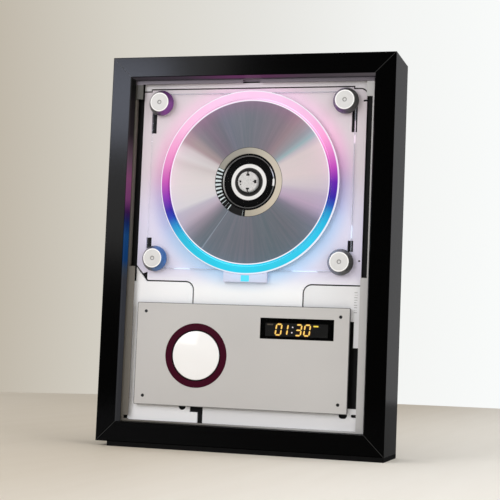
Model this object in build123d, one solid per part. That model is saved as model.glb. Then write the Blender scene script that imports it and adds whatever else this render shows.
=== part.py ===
from build123d import *
import os
from math import acos, atan2, cos, degrees, hypot, pi, radians, sin, tan

# Framed disc player: a shadow-box frame with a spindle, a light ring and a control panel.
# X runs across the frame, Z up from the bottom rail, and Y from front (-Y) to back (+Y).
# "Behind" is the distance of a face behind the frame's front face. All sizes are in mm.
# The disc sets the size of the light ring, the ring that of the clear base, the base that of
# the plates, and the plates that of the liner and the frame. The drive behind the disc sets
# the frame's depth.

# ---------------------------------------------------------------- disc and light ring
disc_r = 60.0
disc_hole_r = 7.5
disc_thickness = 1.2
disc_below_ring = 0.6
stacking_ring_r = 17.9
stacking_ring_width = 1.0
stacking_ring_height = 0.2
disc_to_ring = 0.7
ring_width = 5.3
ring_height = 2.5
ring_wall = 0.9
ring_board_thickness = 0.8
ring_board_clearance = 0.15
feed_width = 32.2
feed_cover = 1.0
feed_gap = 0.2                 # round the feed block: to the ring and to the clear base
feed_window_width = 6.2
feed_window_height = 4.5
feed_window_drop = 0.7         # from the light ring's edge down to the window
feed_window_sheet = 1.8

# ---------------------------------------------------------------- clear base and its nuts
base_beside_ring = 9.8         # clear base beyond the light ring at each side
base_above_ring = -1.1         # the ring stands out over the base's two ends
base_below_ring = -2.9
base_thickness = 2.0
base_corner_r = 2.0
nut_inset = 7.0
nut_height = 5.7
nut_face_r = 6.9
nut_skirt_r = 9.3
nut_bevel = 0.4
nut_rim = 1.2
nut_dimple_r = 1.4
nut_dimple_depth = 0.5
nut_bore_roof = 0.8            # from the dimple to the end of the threaded hole
stud_r = 1.5
stud_end_gap = 0.4
stud_head_r = 2.9
stud_head = 1.2
thread_clearance = 0.06
seat_gap = 0.3                 # left where a turning or sliding face meets a fixed one

# ---------------------------------------------------------------- white plates
plate_thickness = 1.5
plate_gap = 1.0                # dark joint between neighbouring plates
plate_beside_base = 7.4
deck_above_base = 3.2
strip_height = 3.2
base_above_deck_foot = 8.5     # clear base above the deck's lower edge
deck_corner_r = 4.7
deck_corner_drop = 1.5         # the deck's edge is lower over the last stretch at the right
deck_corner_run = 9.7
edge_notch_width = 2.5         # small notch in the deck's right edge
edge_notch_height = 1.4
edge_notch_drop = 9.0
mark_width = 1.5               # small slot beside the lower right nut
mark_height = 1.1
mark_inset = 1.0
mark_rise = 7.8                # from the clear base's lower edge
opening_run = 4.2              # three-cornered opening under the lower left nut
opening_rise = 5.5
opening_slope = 3.9
opening_inset = 8.4
opening_drop = 2.4
deck_step = 1.6                # the joint with the strip is lower at its left end
deck_step_width = 5.9
deck_chamfer_run = 9.2
deck_chamfer_rise = 10.6
neck_left = -38.6
neck_right = 41.8
neck_fillet = 6.6
neck_to_housing = 0.2
slot_width = 4.0
slot_inset = 6.4               # plate edge to the near side of the slots beside the nuts
upper_slot_height = 19.6
upper_slot_drop = 9.3          # from the clear base's upper edge
lower_slot_height = 7.9
lower_slot_rise = 14.6         # from the clear base's lower edge
cable_gap = 3.9                # open strip between the two lower plates
cable_gap_x = -28.2
cable_gap_foot = 9.8
plate_sill_gap = 0.1
plate_hole_r = 2.8
tab_hole = 6.0
tab_hole_r = 2.2
tab_hole_inset = 9.6           # from the plate's edge
pin_slot_width = 4.4           # open at the plate's edge
pin_slot_height = 2.1
pin_slot_inset = 1.8
pin_slot_drop = 0.9
plate_tuck = 2.0               # how far the two lower plates run on under the liner's lip
side_slot_inset = 0.4
side_slot_width = 6.2
side_slot_rise = 4.0           # from the panel's lower edge
side_slot_height = 42.0
side_slot_neck_width = 2.7     # the slot runs on upwards, narrower
side_slot_neck_height = 18.2

# ---------------------------------------------------------------- frame
side_rail_face = 14.5
top_rail_face = 14.8
bottom_rail_face = 14.5
base_strip_height = 3.3        # dark strip that the bottom rail stands on
base_strip_inset = 9.0         # its left end, in from the frame's side
liner_seat_behind = 10.0       # shoulder that the liner's flange lies on
liner_seat_width = 4.5
back_seat_width = 5.2          # shoulder that the back panel lies on
rail_edge_bevel = 0.5
bracket_leg = 24.0
bracket_width = 12.0
bracket_sheet = 2.0
bracket_behind = 22.0
bracket_screw_reach = 15.0     # from the corner along each leg
bracket_screw_r = 1.2
bracket_screw_head_r = 2.6
bracket_screw_head = 1.2
bracket_screw_bite = 7.0
pilot_clearance = 0.05

# ---------------------------------------------------------------- liner and chassis
liner_sheet = 1.0
liner_rise = 3.0               # from the shoulder forward to the liner's lip
liner_shadow_gap = 1.6         # dark joint between the liner and the side and top rails
liner_sill_gap = 0.3           # the same joint along the bottom rail
liner_side_lip = 5.4
liner_top_lip = 2.4
lip_to_plate = 0.3
notch_above_base_foot = 1.1    # stretch of the side lips that is cut away
notch_below_base_top = 3.9
right_notch_below = 4.7        # the right one reaches this much lower
top_notch_left = -7.3          # notch through the top lip and its wall
top_notch_width = 12.8
foot_notch_width = 3.7         # small notch at the foot of the left lip
foot_notch_height = 2.3
foot_notch_rise = 0.9
tray_clearance = 0.3
tray_rim_height = 1.0
tray_rim_wall = 1.2
chassis_sheet = 1.5
chassis_screw_r = 1.0
chassis_screw_head_r = 2.0
chassis_screw_head = 1.2
chassis_screw_bite = 6.0
chassis_boss_wall = 0.9
chassis_screw_pitch = 102.0
chassis_screw_x = 45.0

# ---------------------------------------------------------------- spindle
hub_play = 0.15                # from the hub to the disc's hole
hub_height = 1.8
hub_edge = 0.6
hub_cap = 0.9
hub_web = 0.2
hub_ball_r = 1.0
hub_ball_proud = 0.08
hub_ball_drop = 0.1
hub_ball_count = 4
ball_pocket_play = 0.05
ball_pocket_depth = 1.5
turntable_r = 20.5
turntable_thickness = 2.0
turntable_well = 1.4
disc_seat_gap = 0.15
pad_inner_r = 9.6
pad_width = 2.5
pad_thickness = 0.7
groove_play = 0.4
spindle_r = 1.0
spindle_end = 0.8
bearing_play = 0.05
motor_r = 12.3
motor_edge = 0.6
motor_front_behind = 11.0
motor_length = 11.0
motor_flange_width = 3.2
motor_flange = 1.0
motor_boss_r = 3.0
motor_boss = 0.5
motor_to_plate = 0.2

# ---------------------------------------------------------------- traverse and laser sled
well_inside_disc = 10.0        # openings round the drive, each this much smaller than the disc
deck_well_inside_disc = 5.0
base_well_inside_disc = 2.5
laser_slot_half = 9.4
laser_slot_past_disc = 6.0
base_slot_half = 5.4
base_slot_past_disc = 3.2
traverse_behind = 16.0
traverse_sheet = 1.5
traverse_past_rods = 4.0
traverse_right = 52.0
traverse_past_sled = 17.5
traverse_corner_r = 6.0
damper_inset = 10.0
damper_inset_right = 8.0
damper_inset_z = 7.0
damper_r = 4.6
damper_hole_r = 3.2
damper_fit = 0.05
damper_screw_r = 1.3
damper_screw_play = 0.15
damper_screw_head_r = 3.4
damper_screw_head = 1.4
damper_back = 1.5
sled_first_r = 24.0            # lens radius at the first track
last_track_inset = 2.0
sled_front_behind = 14.2
sled_depth = 7.3
sled_inner = 9.0               # sled edge from the lens towards the spindle
sled_outer = 15.0
sled_half_height = 23.5        # half of the window that the sled runs in
rod_r = 1.5
rod_inset = 4.0                # from the window's edge to each rod
rod_behind = 19.0
rod_play = 0.05
rod_end_play = 1.0
rod_cradle = 4.0
rod_cradle_height = 3.0
rod_cradle_wall = 1.2
actuator_length = 12.0
actuator_height = 16.0
actuator_front_behind = 11.4
actuator_well = 1.5
lens_r = 3.4
lens_front_behind = 9.6
lens_edge = 0.5
lens_thickness = 2.2
lens_rim = 0.9
lens_gap = 0.3
lens_seat = 0.6

# ---------------------------------------------------------------- sled gears
module = 0.6
pressure_angle = 20.0
small_teeth = 14
large_teeth = 40
pinion_teeth = 12
tooth_addendum = 0.9           # in modules
tooth_dedendum = 1.3
tooth_backlash = 0.10
rack_face = 2.5
rack_gap = 0.3                 # from the traverse plate back to the rack
rack_below_window = 3.7        # from the sled's window down to the rack's pitch line
idler_x = -46.0
large_face = 2.0
large_gear_gap = 0.8           # from the sled's back to the large gear
lightening_hole_r = 2.0
lightening_holes = 5
idler_pin_r = 1.0
idler_pin_end = 0.5
idler_pin_collar = 1.0
idler_bore_play = 0.05
idler_end_play = 0.1
pinion_angle = -45.0           # direction from the idler to the pinion
pinion_face = 2.6
pinion_proud = 0.3
sled_motor_r = 10.0
sled_motor_length = 10.5
sled_motor_shaft_r = 0.75
sled_motor_shaft_bite = 4.0
sled_motor_boss_r = 2.5
motor_bracket_sheet = 1.2
motor_bracket_gap = 0.7
motor_bracket_margin = 1.0
motor_bracket_foot = 3.0

# ---------------------------------------------------------------- control panel
panel_inside_plates = 4.8      # panel edge inside the plates' edge
panel_x = -1.2                 # the panel's middle, left of the frame's middle
panel_height = 73.5
panel_above_sill = 12.8
panel_below_deck = 16.3
panel_rise = 5.2               # panel face in front of the chassis plate
panel_sheet = 1.2
panel_corner_r = 0.6
housing_inset = 0.6
housing_wall = 2.0
panel_screw_inset_x = 6.6
panel_screw_inset_z = 6.4
panel_screw_r = 0.9
panel_screw_head_r = 1.15
panel_screw_head = 0.5
panel_boss_r = 3.0
knob_inset = 45.7              # panel's left edge to the knob's axis
knob_above_panel_foot = 36.4
knob_r = 17.4
knob_dome = 1.0
knob_skirt = 3.4
knob_wall = 1.4
knob_travel = 1.2
knob_socket_wall = 1.6
knob_ring_gap = 0.35
knob_ring_width = 5.15
knob_ring_flange = 1.4
knob_ring_depth = 2.4
knob_ring_clearance = 0.1
shaft_r = 3.0
shaft_play = 0.05
encoder_size = 12.0
encoder_height = 6.0
encoder_roof = 1.6
plunger_r = 4.6
plunger_play = 0.1
plunger_height = 1.0
plunger_end_gap = 0.4
window_width = 53.2
window_height = 14.8
window_inset = 11.1            # panel's right edge to the window
window_below_panel_top = 15.9  # to the window's middle
window_sheet = 1.2
window_clearance = 0.1
display_margin = 2.6
display_height = 6.6
display_pin_row = 3.0
display_pin_width = 2.0
control_board_behind = 18.0
board_thickness = 1.6
board_inside_panel = 5.4
cutout_inset = 10.6            # from half the panel to the opening behind it, at each end
cutout_margin = 3.4            # housing wall to the same opening, above and below
post_r = 2.6
post_inset = 4.0
post_to_cutout = 0.8
post_screw_r = 1.0
post_screw_end = 1.4           # of a post's screw, past the control board
post_screw_bite = 6.0
post_screw_head_r = 1.9
post_screw_head = 1.2
post_screw_gap = 1.0           # from a screw's tip to the end of its hole
board_post_inset_x = 15.0

# ---------------------------------------------------------------- boards and back
back_gap = 8.8                 # from the sled's motor to the back panel
back_panel_sheet = 2.5
back_panel_recess = 1.0
back_panel_clearance = 0.3
back_screw_r = 1.0
back_screw_head_r = 2.2
back_screw_head = 0.8
back_screw_bite = 7.0
back_screw_end = 30.0          # from the panel's corner to the first screw
back_screw_x = 49.0
keyhole_half_spacing = 60.0
keyhole_below_top = 36.7
keyhole_entry_r = 4.5
keyhole_slot_r = 2.2
keyhole_rise = 9.0
keyhole_plate_width = 22.0
keyhole_plate_height = 34.0
keyhole_plate_corner_r = 4.0
keyhole_pocket_margin = 1.6
well_width = 66.0
well_height = 24.0
well_above_sill = 10.2
well_depth = 8.0
well_wall = 2.0
well_corner_r = 3.0
vent_count = 9
vent_pitch = 8.0
vent_width = 3.0
vent_height = 34.0
vent_above_board = 9.0
main_board_width = 124.0
main_board_height = 70.0
main_board_above_sill = 6.2
connector_reach = 2.4          # from the main board to the well's floor
connector_clearance = 0.1
inlet_width = 8.9
inlet_height = 3.2
inlet_wall = 0.3
inlet_back_wall = 1.0
inlet_tongue = 0.7
inlet_tongue_side = 1.2
inlet_tongue_drop = 0.6
inlet_x = -20.0
jack_r = 3.0
jack_body = 7.0
jack_bore_r = 1.75
jack_x = 0.0
switch_x = 20.0
switch_width = 9.0
switch_height = 4.4
switch_travel = 2.0
switch_pocket = 1.2
slider_width = 3.0
slider_height = 2.2
slider_rise = 2.4
slider_play = 0.3
battery_width = 96.0
battery_height = 50.0
battery_depth = 7.0
battery_above_vents = 35.0
battery_corner_r = 3.0
ribbon_width = 22.0
ribbon_thickness = 0.3
ribbon_sag = 1.5
ribbon_below_panel_middle = 6.0
ribbon_from_board_end = 2.2
socket_height = 2.6
socket_depth = 3.0
socket_side = 1.0
chip_thickness = 1.4
driver_chip = 14.0
audio_chip = 10.0
memory_chip_width = 9.0
memory_chip_height = 12.0
coil_size = 8.0
coil_height = 4.0
power_chip_width = 12.0
power_chip_height = 6.0
capacitor_r = 3.2
capacitor_height = 6.5
capacitor_pitch = 12.0
chip_pitch = 26.0

# ---------------------------------------------------------------- derived faces and places
disc_x = 0.0
ring_inner_r = disc_r + disc_to_ring
ring_outer_r = ring_inner_r + ring_width
base_width = 2 * (ring_outer_r + base_beside_ring)
plate_edge_x = base_width / 2 + plate_beside_base
opening_x = plate_edge_x + lip_to_plate + liner_side_lip + liner_shadow_gap
frame_width = 2 * (opening_x + side_rail_face)
opening_bottom = base_strip_height + bottom_rail_face
panel_width = 2 * (plate_edge_x - panel_inside_plates)
panel_bottom = opening_bottom + panel_above_sill
panel_top = panel_bottom + panel_height
panel_mid_z = panel_bottom + panel_height / 2
knob_x = panel_x + knob_inset - panel_width / 2
knob_z = panel_bottom + knob_above_panel_foot
knob_ring_outer_r = knob_r + knob_ring_gap + knob_ring_width
window_x = panel_x + panel_width / 2 - window_inset - window_width / 2
window_z = panel_top - window_below_panel_top
deck_bottom = panel_top + panel_below_deck
base_bottom = deck_bottom + base_above_deck_foot
disc_z = base_bottom + ring_outer_r + base_below_ring
base_top = disc_z + ring_outer_r + base_above_ring
base_height = base_top - base_bottom
base_centre_z = (base_top + base_bottom) / 2
plate_top = base_top + deck_above_base
strip_top = plate_top + plate_gap + strip_height
opening_top = strip_top + plate_gap + liner_sheet + liner_shadow_gap
frame_height = opening_top + top_rail_face
left_notch_bottom = base_bottom + notch_above_base_foot
right_notch_bottom = left_notch_bottom - right_notch_below
notch_top = base_top - notch_below_base_top
tray_x = opening_x + liner_seat_width - tray_clearance
tray_bottom = opening_bottom - liner_seat_width + tray_clearance
tray_top = opening_top + liner_seat_width - tray_clearance
liner_front = liner_seat_behind - liner_rise
liner_back = liner_seat_behind + liner_sheet
chassis_front = liner_back + tray_rim_height
chassis_back = chassis_front + chassis_sheet
plate_front = chassis_front - plate_thickness
base_front = plate_front - base_thickness
ring_front = base_front - ring_height
disc_front = ring_front + disc_below_ring
disc_back = disc_front + disc_thickness
turntable_back = disc_back + turntable_thickness
hub_r = disc_hole_r - hub_play
hub_front = disc_front - hub_height
pad_outer_r = pad_inner_r + pad_width
nut_back = base_front - seat_gap
nut_front = nut_back - nut_height
nut_bore_end = nut_front + nut_dimple_depth + nut_bore_roof
nut_x = base_width / 2 - nut_inset
nut_low = base_bottom + nut_inset
nut_high = base_top - nut_inset
motor_flange_r = motor_r + motor_flange_width
well_r = disc_r - well_inside_disc
deck_well_r = disc_r - deck_well_inside_disc
base_well_r = disc_r - base_well_inside_disc
laser_slot_end = disc_r + laser_slot_past_disc
base_slot_end = disc_r + base_slot_past_disc
sled_travel = disc_r - last_track_inset - sled_first_r
lens_x = disc_x - sled_first_r
lens_holder_r = lens_r + lens_rim
rod_half_z = sled_half_height - rod_inset
rod_right = lens_x + sled_inner + rod_end_play + rod_cradle
rod_left = lens_x - sled_travel - sled_outer - rod_end_play - rod_cradle
traverse_left = rod_left - traverse_past_rods
traverse_half_height = sled_half_height + traverse_past_sled
traverse_back = traverse_behind + traverse_sheet
damper_left_x = traverse_left + damper_inset
damper_right_x = traverse_right - damper_inset_right
damper_half_z = traverse_half_height - damper_inset_z
sled_back = sled_front_behind + sled_depth
rack_front = traverse_back + rack_gap
rack_pitch_z = disc_z - sled_half_height - rack_below_window
small_r = module * small_teeth / 2
large_r = module * large_teeth / 2
pinion_r = module * pinion_teeth / 2
idler_z = rack_pitch_z - small_r
large_front = sled_back + large_gear_gap
large_back = large_front + large_face
pinion_front = large_front - pinion_proud
pinion_x = idler_x + (large_r + pinion_r) * cos(radians(pinion_angle))
pinion_z = idler_z + (large_r + pinion_r) * sin(radians(pinion_angle))
motor_shelf = large_back + motor_bracket_gap
panel_front = chassis_front - panel_rise
panel_back = panel_front + panel_sheet
cutout_height = panel_height - 2 * (housing_inset + housing_wall + cutout_margin)
board_post_z = cutout_height / 2 + post_r + post_to_cutout
control_board_width = panel_width - 2 * board_inside_panel
control_board_height = 2 * (board_post_z + post_inset)
encoder_front = control_board_behind - encoder_height
control_board_back = control_board_behind + board_thickness
back_seat = motor_shelf + motor_bracket_sheet + sled_motor_length + back_gap
back_face = back_seat + back_panel_sheet
frame_depth = back_face + back_panel_recess
well_floor_back = back_face - well_depth
well_floor_front = well_floor_back - well_wall
main_board_back = well_floor_front - connector_reach
main_board_front = main_board_back - board_thickness
main_board_bottom = opening_bottom + main_board_above_sill
main_board_top = main_board_bottom + main_board_height
well_bottom = opening_bottom + well_above_sill
well_mid_z = well_bottom + well_height / 2
vent_z = main_board_top + vent_above_board + vent_height / 2
battery_bottom = vent_z + vent_height / 2 + battery_above_vents
keyhole_z = frame_height - keyhole_below_top


# ---------------------------------------------------------------- helpers
def y_at(behind):
    """Y of a face that lies this far behind the frame's front."""
    return behind - frame_depth / 2


def plate(outline, front, back):
    """A flat piece: an outline drawn in X and Z, from one depth to another."""
    seat = Plane(origin=(0, y_at(back), 0), x_dir=(1, 0, 0), z_dir=(0, -1, 0))
    return extrude(seat * outline, amount=back - front, dir=(0, -1, 0))


def bar(left, right, bottom, top):
    """A rectangle between four edges."""
    return Pos((left + right) / 2, (bottom + top) / 2) * Rectangle(right - left, top - bottom)


def rod(radius, front, back, x, z):
    """A round bar along Y."""
    return plate(Pos(x, z) * Circle(radius), front, back)


def turned(profile, x, z):
    """A turned piece about an axis along Y: profile is (radius, behind) pairs in order."""
    points = [(x + radius, y_at(behind), z) for radius, behind in profile]
    face = make_face(Polyline(*points, close=True))
    return revolve(face, axis=Axis((x, 0, z), (0, 1, 0)), revolution_arc=360)


def screw(radius, head_r, head_front, head, tip, x, z):
    """A pan-head screw along Y. The head may face the front or the back."""
    outward = head_front + head
    shank_start = outward if tip > head_front else head_front
    shank = rod(radius, min(shank_start, tip), max(shank_start, tip), x, z)
    return rod(head_r, head_front, outward, x, z) + shank


def mirrored_x(x):
    """The same place on both sides of the middle."""
    return (-x, x)


# ---------------------------------------------------------------- frame
def base_strip():
    """The strip glued under the bottom rail, flush at the front and at the right end."""
    strip = bar(base_strip_inset - frame_width / 2, frame_width / 2, 0, base_strip_height)
    return {"base_strip": plate(strip, 0, frame_depth)}


def frame_rails():
    """Four mitred rails, cut from one stepped ring along the lines of their corners."""
    foot = base_strip_height
    outer = bar(-frame_width / 2, frame_width / 2, foot, frame_height)
    ring = plate(outer - bar(-opening_x, opening_x, opening_bottom, opening_top), 0, frame_depth)
    ring = chamfer(ring.faces().sort_by(Axis.Y)[0].edges(), rail_edge_bevel)
    liner_step = liner_seat_width
    ring -= plate(bar(-opening_x - liner_step, opening_x + liner_step, opening_bottom - liner_step,
                      opening_top + liner_step), liner_seat_behind, frame_depth)
    back_step = liner_seat_width + back_seat_width
    ring -= plate(bar(-opening_x - back_step, opening_x + back_step, opening_bottom - back_step,
                      opening_top + back_step), back_seat, frame_depth)
    for x, z, tip in chassis_screw_places():
        ring -= rod(chassis_screw_r + pilot_clearance, tip, liner_seat_behind, x, z)
    for x, z in back_screw_places():
        ring -= rod(back_screw_r + pilot_clearance, back_seat - back_screw_bite, back_seat, x, z)
    for hole in bracket_screw_holes(bracket_screw_r + pilot_clearance):
        ring -= hole
    corner = {"bl": (-frame_width / 2, foot), "br": (frame_width / 2, foot),
              "tl": (-frame_width / 2, frame_height), "tr": (frame_width / 2, frame_height)}
    inner = {"bl": (-opening_x, opening_bottom), "br": (opening_x, opening_bottom),
             "tl": (-opening_x, opening_top), "tr": (opening_x, opening_top)}
    ends = {"frame_rail_bottom": ("bl", "br"), "frame_rail_top": ("tr", "tl"),
            "frame_rail_left": ("tl", "bl"), "frame_rail_right": ("br", "tr")}
    rails = {}
    for name, (first, last) in ends.items():
        wedge = Polygon(corner[first], corner[last], inner[last], inner[first], align=None)
        rails[name] = ring & plate(wedge, 0, frame_depth)
    return rails


def corner_places():
    """Inner corners of the frame behind the liner's shoulder, with the way in from each."""
    low = opening_bottom - liner_seat_width
    high = opening_top + liner_seat_width
    side = opening_x + liner_seat_width
    return [(-side, low, 1, 1), (side, low, -1, 1), (-side, high, 1, -1), (side, high, -1, -1)]


def bracket_screw_axes():
    """Each bracket's two screws: where the head sits and the way that the screw points."""
    axes = []
    for x, z, in_x, in_z in corner_places():
        axes.append(((x + in_x * bracket_screw_reach, z + in_z * bracket_sheet), (0, -in_z)))
        axes.append(((x + in_x * bracket_sheet, z + in_z * bracket_screw_reach), (-in_x, 0)))
    return axes


def cross_rod(radius, start, way, length):
    """A round bar in the plane of the frame, halfway across a corner bracket."""
    y = y_at(bracket_behind + bracket_width / 2)
    base = Plane(origin=(start[0], y, start[1]), z_dir=(way[0], 0, way[1]))
    return extrude(base * Circle(radius), amount=length)


def bracket_screw_holes(radius):
    """The round holes that the bracket screws pass through."""
    reach = bracket_sheet + bracket_screw_bite
    return [cross_rod(radius, start, way, reach) for start, way in bracket_screw_axes()]


def corner_fittings():
    """Steel angles in the frame's four corners, and the screws that hold them."""
    brackets = []
    for x, z, in_x, in_z in corner_places():
        far_x, near_x = x + in_x * bracket_leg, x + in_x * bracket_sheet
        far_z, near_z = z + in_z * bracket_leg, z + in_z * bracket_sheet
        leg = Polygon((x, z), (far_x, z), (far_x, near_z), (near_x, near_z), (near_x, far_z), (x, far_z),
                      align=None)
        angle = plate(leg, bracket_behind, bracket_behind + bracket_width)
        for hole in bracket_screw_holes(bracket_screw_r + pilot_clearance):
            angle -= hole
        brackets.append(angle)
    screws = []
    for start, way in bracket_screw_axes():
        shank = cross_rod(bracket_screw_r, start, way, bracket_sheet + bracket_screw_bite)
        head = cross_rod(bracket_screw_head_r, start, (-way[0], -way[1]), bracket_screw_head)
        screws.append(shank + head)
    return {"corner_brackets": brackets}, screws


# ---------------------------------------------------------------- liner and chassis
def liner():
    """A stepped metal trim: a flange on the shoulder, a wall forward and a lip inward."""
    side = opening_x - liner_shadow_gap
    top = opening_top - liner_shadow_gap
    sill = opening_bottom + liner_sill_gap
    wall_outline = bar(-side, side, sill, top)
    wall_inside = bar(-side + liner_sheet, side - liner_sheet, sill + liner_sheet, top - liner_sheet)
    flange = plate(bar(-tray_x, tray_x, tray_bottom, tray_top) - wall_inside, liner_seat_behind, liner_back)
    wall = plate(wall_outline - wall_inside, liner_front, liner_back)
    lip_inside = bar(-side + liner_side_lip, side - liner_side_lip, sill + liner_sheet, top - liner_top_lip)
    lip = plate(wall_outline - lip_inside, liner_front, liner_front + liner_sheet)
    near, far = side - liner_side_lip, side - liner_sheet
    cuts = bar(-far, -near, left_notch_bottom, notch_top) + bar(near, far, right_notch_bottom, notch_top)
    foot = sill + liner_sheet + foot_notch_rise
    cuts += bar(-near - foot_notch_width, -near, foot, foot + foot_notch_height)
    lip -= plate(cuts, liner_front, liner_front + liner_sheet)
    top_notch = bar(top_notch_left, top_notch_left + top_notch_width, top - liner_top_lip, top)
    trim = flange + (wall + lip - plate(top_notch, liner_front, liner_seat_behind))
    for x, z, _ in chassis_screw_places():
        trim -= rod(chassis_screw_r + pilot_clearance, liner_seat_behind, liner_back, x, z)
    return {"liner": trim}


def chassis_screw_places():
    """Screws through the tray's edge into the frame's shoulder, with their tips' depth."""
    side = opening_x + liner_seat_width / 2
    low = opening_bottom - liner_seat_width / 2
    high = opening_top + liner_seat_width / 2
    tip = liner_seat_behind - chassis_screw_bite
    middle = (low + high) / 2
    heights = (middle - chassis_screw_pitch, middle, middle + chassis_screw_pitch)
    places = [(x, z, tip) for x in mirrored_x(side) for z in heights]
    return places + [(x, z, tip) for x in mirrored_x(chassis_screw_x) for z in (low, high)]


def panel_cutout():
    """The opening in the chassis behind the control panel."""
    return Pos(0, panel_mid_z) * Rectangle(panel_width - 2 * cutout_inset, cutout_height)


def laser_opening(radius, half, end):
    """The round opening under the disc, with the slot that the lens travels in."""
    return Pos(disc_x, disc_z) * Circle(radius) + bar(disc_x - end, disc_x, disc_z - half, disc_z + half)


def damper_places():
    """Rubber dampers at the corners of the traverse plate."""
    heights = (disc_z - damper_half_z, disc_z + damper_half_z)
    return [(x, z) for x in (damper_left_x, damper_right_x) for z in heights]


def board_post_places():
    """Posts for the control board on the chassis."""
    x = control_board_width / 2 - board_post_inset_x
    return [(px, panel_mid_z + pz) for px in (-x, x) for pz in (-board_post_z, board_post_z)]


def chassis():
    """The black tray that everything in the box is fixed to."""
    outline = bar(-tray_x, tray_x, tray_bottom, tray_top)
    inside = bar(-tray_x + tray_rim_wall, tray_x - tray_rim_wall, tray_bottom + tray_rim_wall,
                 tray_top - tray_rim_wall)
    tray = plate(outline, chassis_front, chassis_back) + plate(outline - inside, liner_back, chassis_front)
    tray -= plate(laser_opening(well_r, laser_slot_half, laser_slot_end) + panel_cutout(),
                  chassis_front, chassis_back)
    screws = []
    for x, z, tip in chassis_screw_places():
        tray += rod(chassis_screw_r + chassis_boss_wall, liner_back, chassis_front, x, z)
        tray -= rod(chassis_screw_r + pilot_clearance, liner_back, chassis_back, x, z)
        screws.append(screw(chassis_screw_r, chassis_screw_head_r, chassis_back, chassis_screw_head,
                            tip, x, z))
    for x, z in damper_places():
        tray -= rod(damper_screw_r + pilot_clearance, chassis_front, chassis_back, x, z)
    for x, z in nut_places():
        tray -= rod(stud_r + pilot_clearance, chassis_front, chassis_back, x, z)
    for x, z in panel_screw_places():
        tray -= rod(panel_screw_r + pilot_clearance, chassis_front, chassis_back, x, z)
    return {"chassis_tray": tray}, screws


# ---------------------------------------------------------------- white plates
def deck():
    """The broad white plate under the disc, with its neck running down behind the panel."""
    left, right = -plate_edge_x, plate_edge_x
    outline = bar(left, right, deck_bottom, plate_top)
    outline -= Polygon((left, deck_bottom), (left + deck_chamfer_run, deck_bottom),
                       (left, deck_bottom + deck_chamfer_rise), align=None)
    drop = plate_top - deck_corner_drop
    outline -= bar(right - deck_corner_run, right, drop, plate_top)
    corner = bar(right - deck_corner_r, right, drop - deck_corner_r, drop)
    outline -= corner - Pos(right - deck_corner_r, drop - deck_corner_r) * Circle(deck_corner_r)
    outline -= bar(left, left + deck_step_width, plate_top - deck_step, plate_top)
    notch_high = plate_top - edge_notch_drop
    outline -= bar(right - edge_notch_width, right, notch_high - edge_notch_height, notch_high)
    mark_foot = base_bottom + mark_rise
    outline -= bar(right - mark_inset - mark_width, right - mark_inset, mark_foot, mark_foot + mark_height)
    side, high = left + opening_inset, base_bottom - opening_drop
    low = high - opening_rise
    outline -= Polygon((side, low), (side, high), (side - opening_run, low + opening_slope), align=None)
    neck = bar(neck_left, neck_right, panel_top - housing_inset + neck_to_housing, deck_bottom)
    fillet_foot = deck_bottom - neck_fillet
    for edge, way in ((neck_left, -1), (neck_right, 1)):
        fillet_x = edge + way * neck_fillet
        corner = bar(*sorted((edge, fillet_x)), fillet_foot, deck_bottom)
        neck += corner - Pos(fillet_x, fillet_foot) * Circle(neck_fillet)
    outline += neck
    slot_top = base_top - upper_slot_drop
    slot_foot = base_bottom + lower_slot_rise
    for edge in (-1, 1):
        near = plate_edge_x - slot_inset
        span = sorted((edge * near, edge * (near - slot_width)))
        outline -= bar(*span, slot_top - upper_slot_height, slot_top)
        outline -= bar(*span, slot_foot, slot_foot + lower_slot_height)
    outline -= laser_opening(deck_well_r, laser_slot_half, laser_slot_end)
    outline -= [Pos(x, z) * Circle(stud_r + pilot_clearance) for x, z in nut_places()]
    return plate(outline, plate_front, chassis_front)


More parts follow.
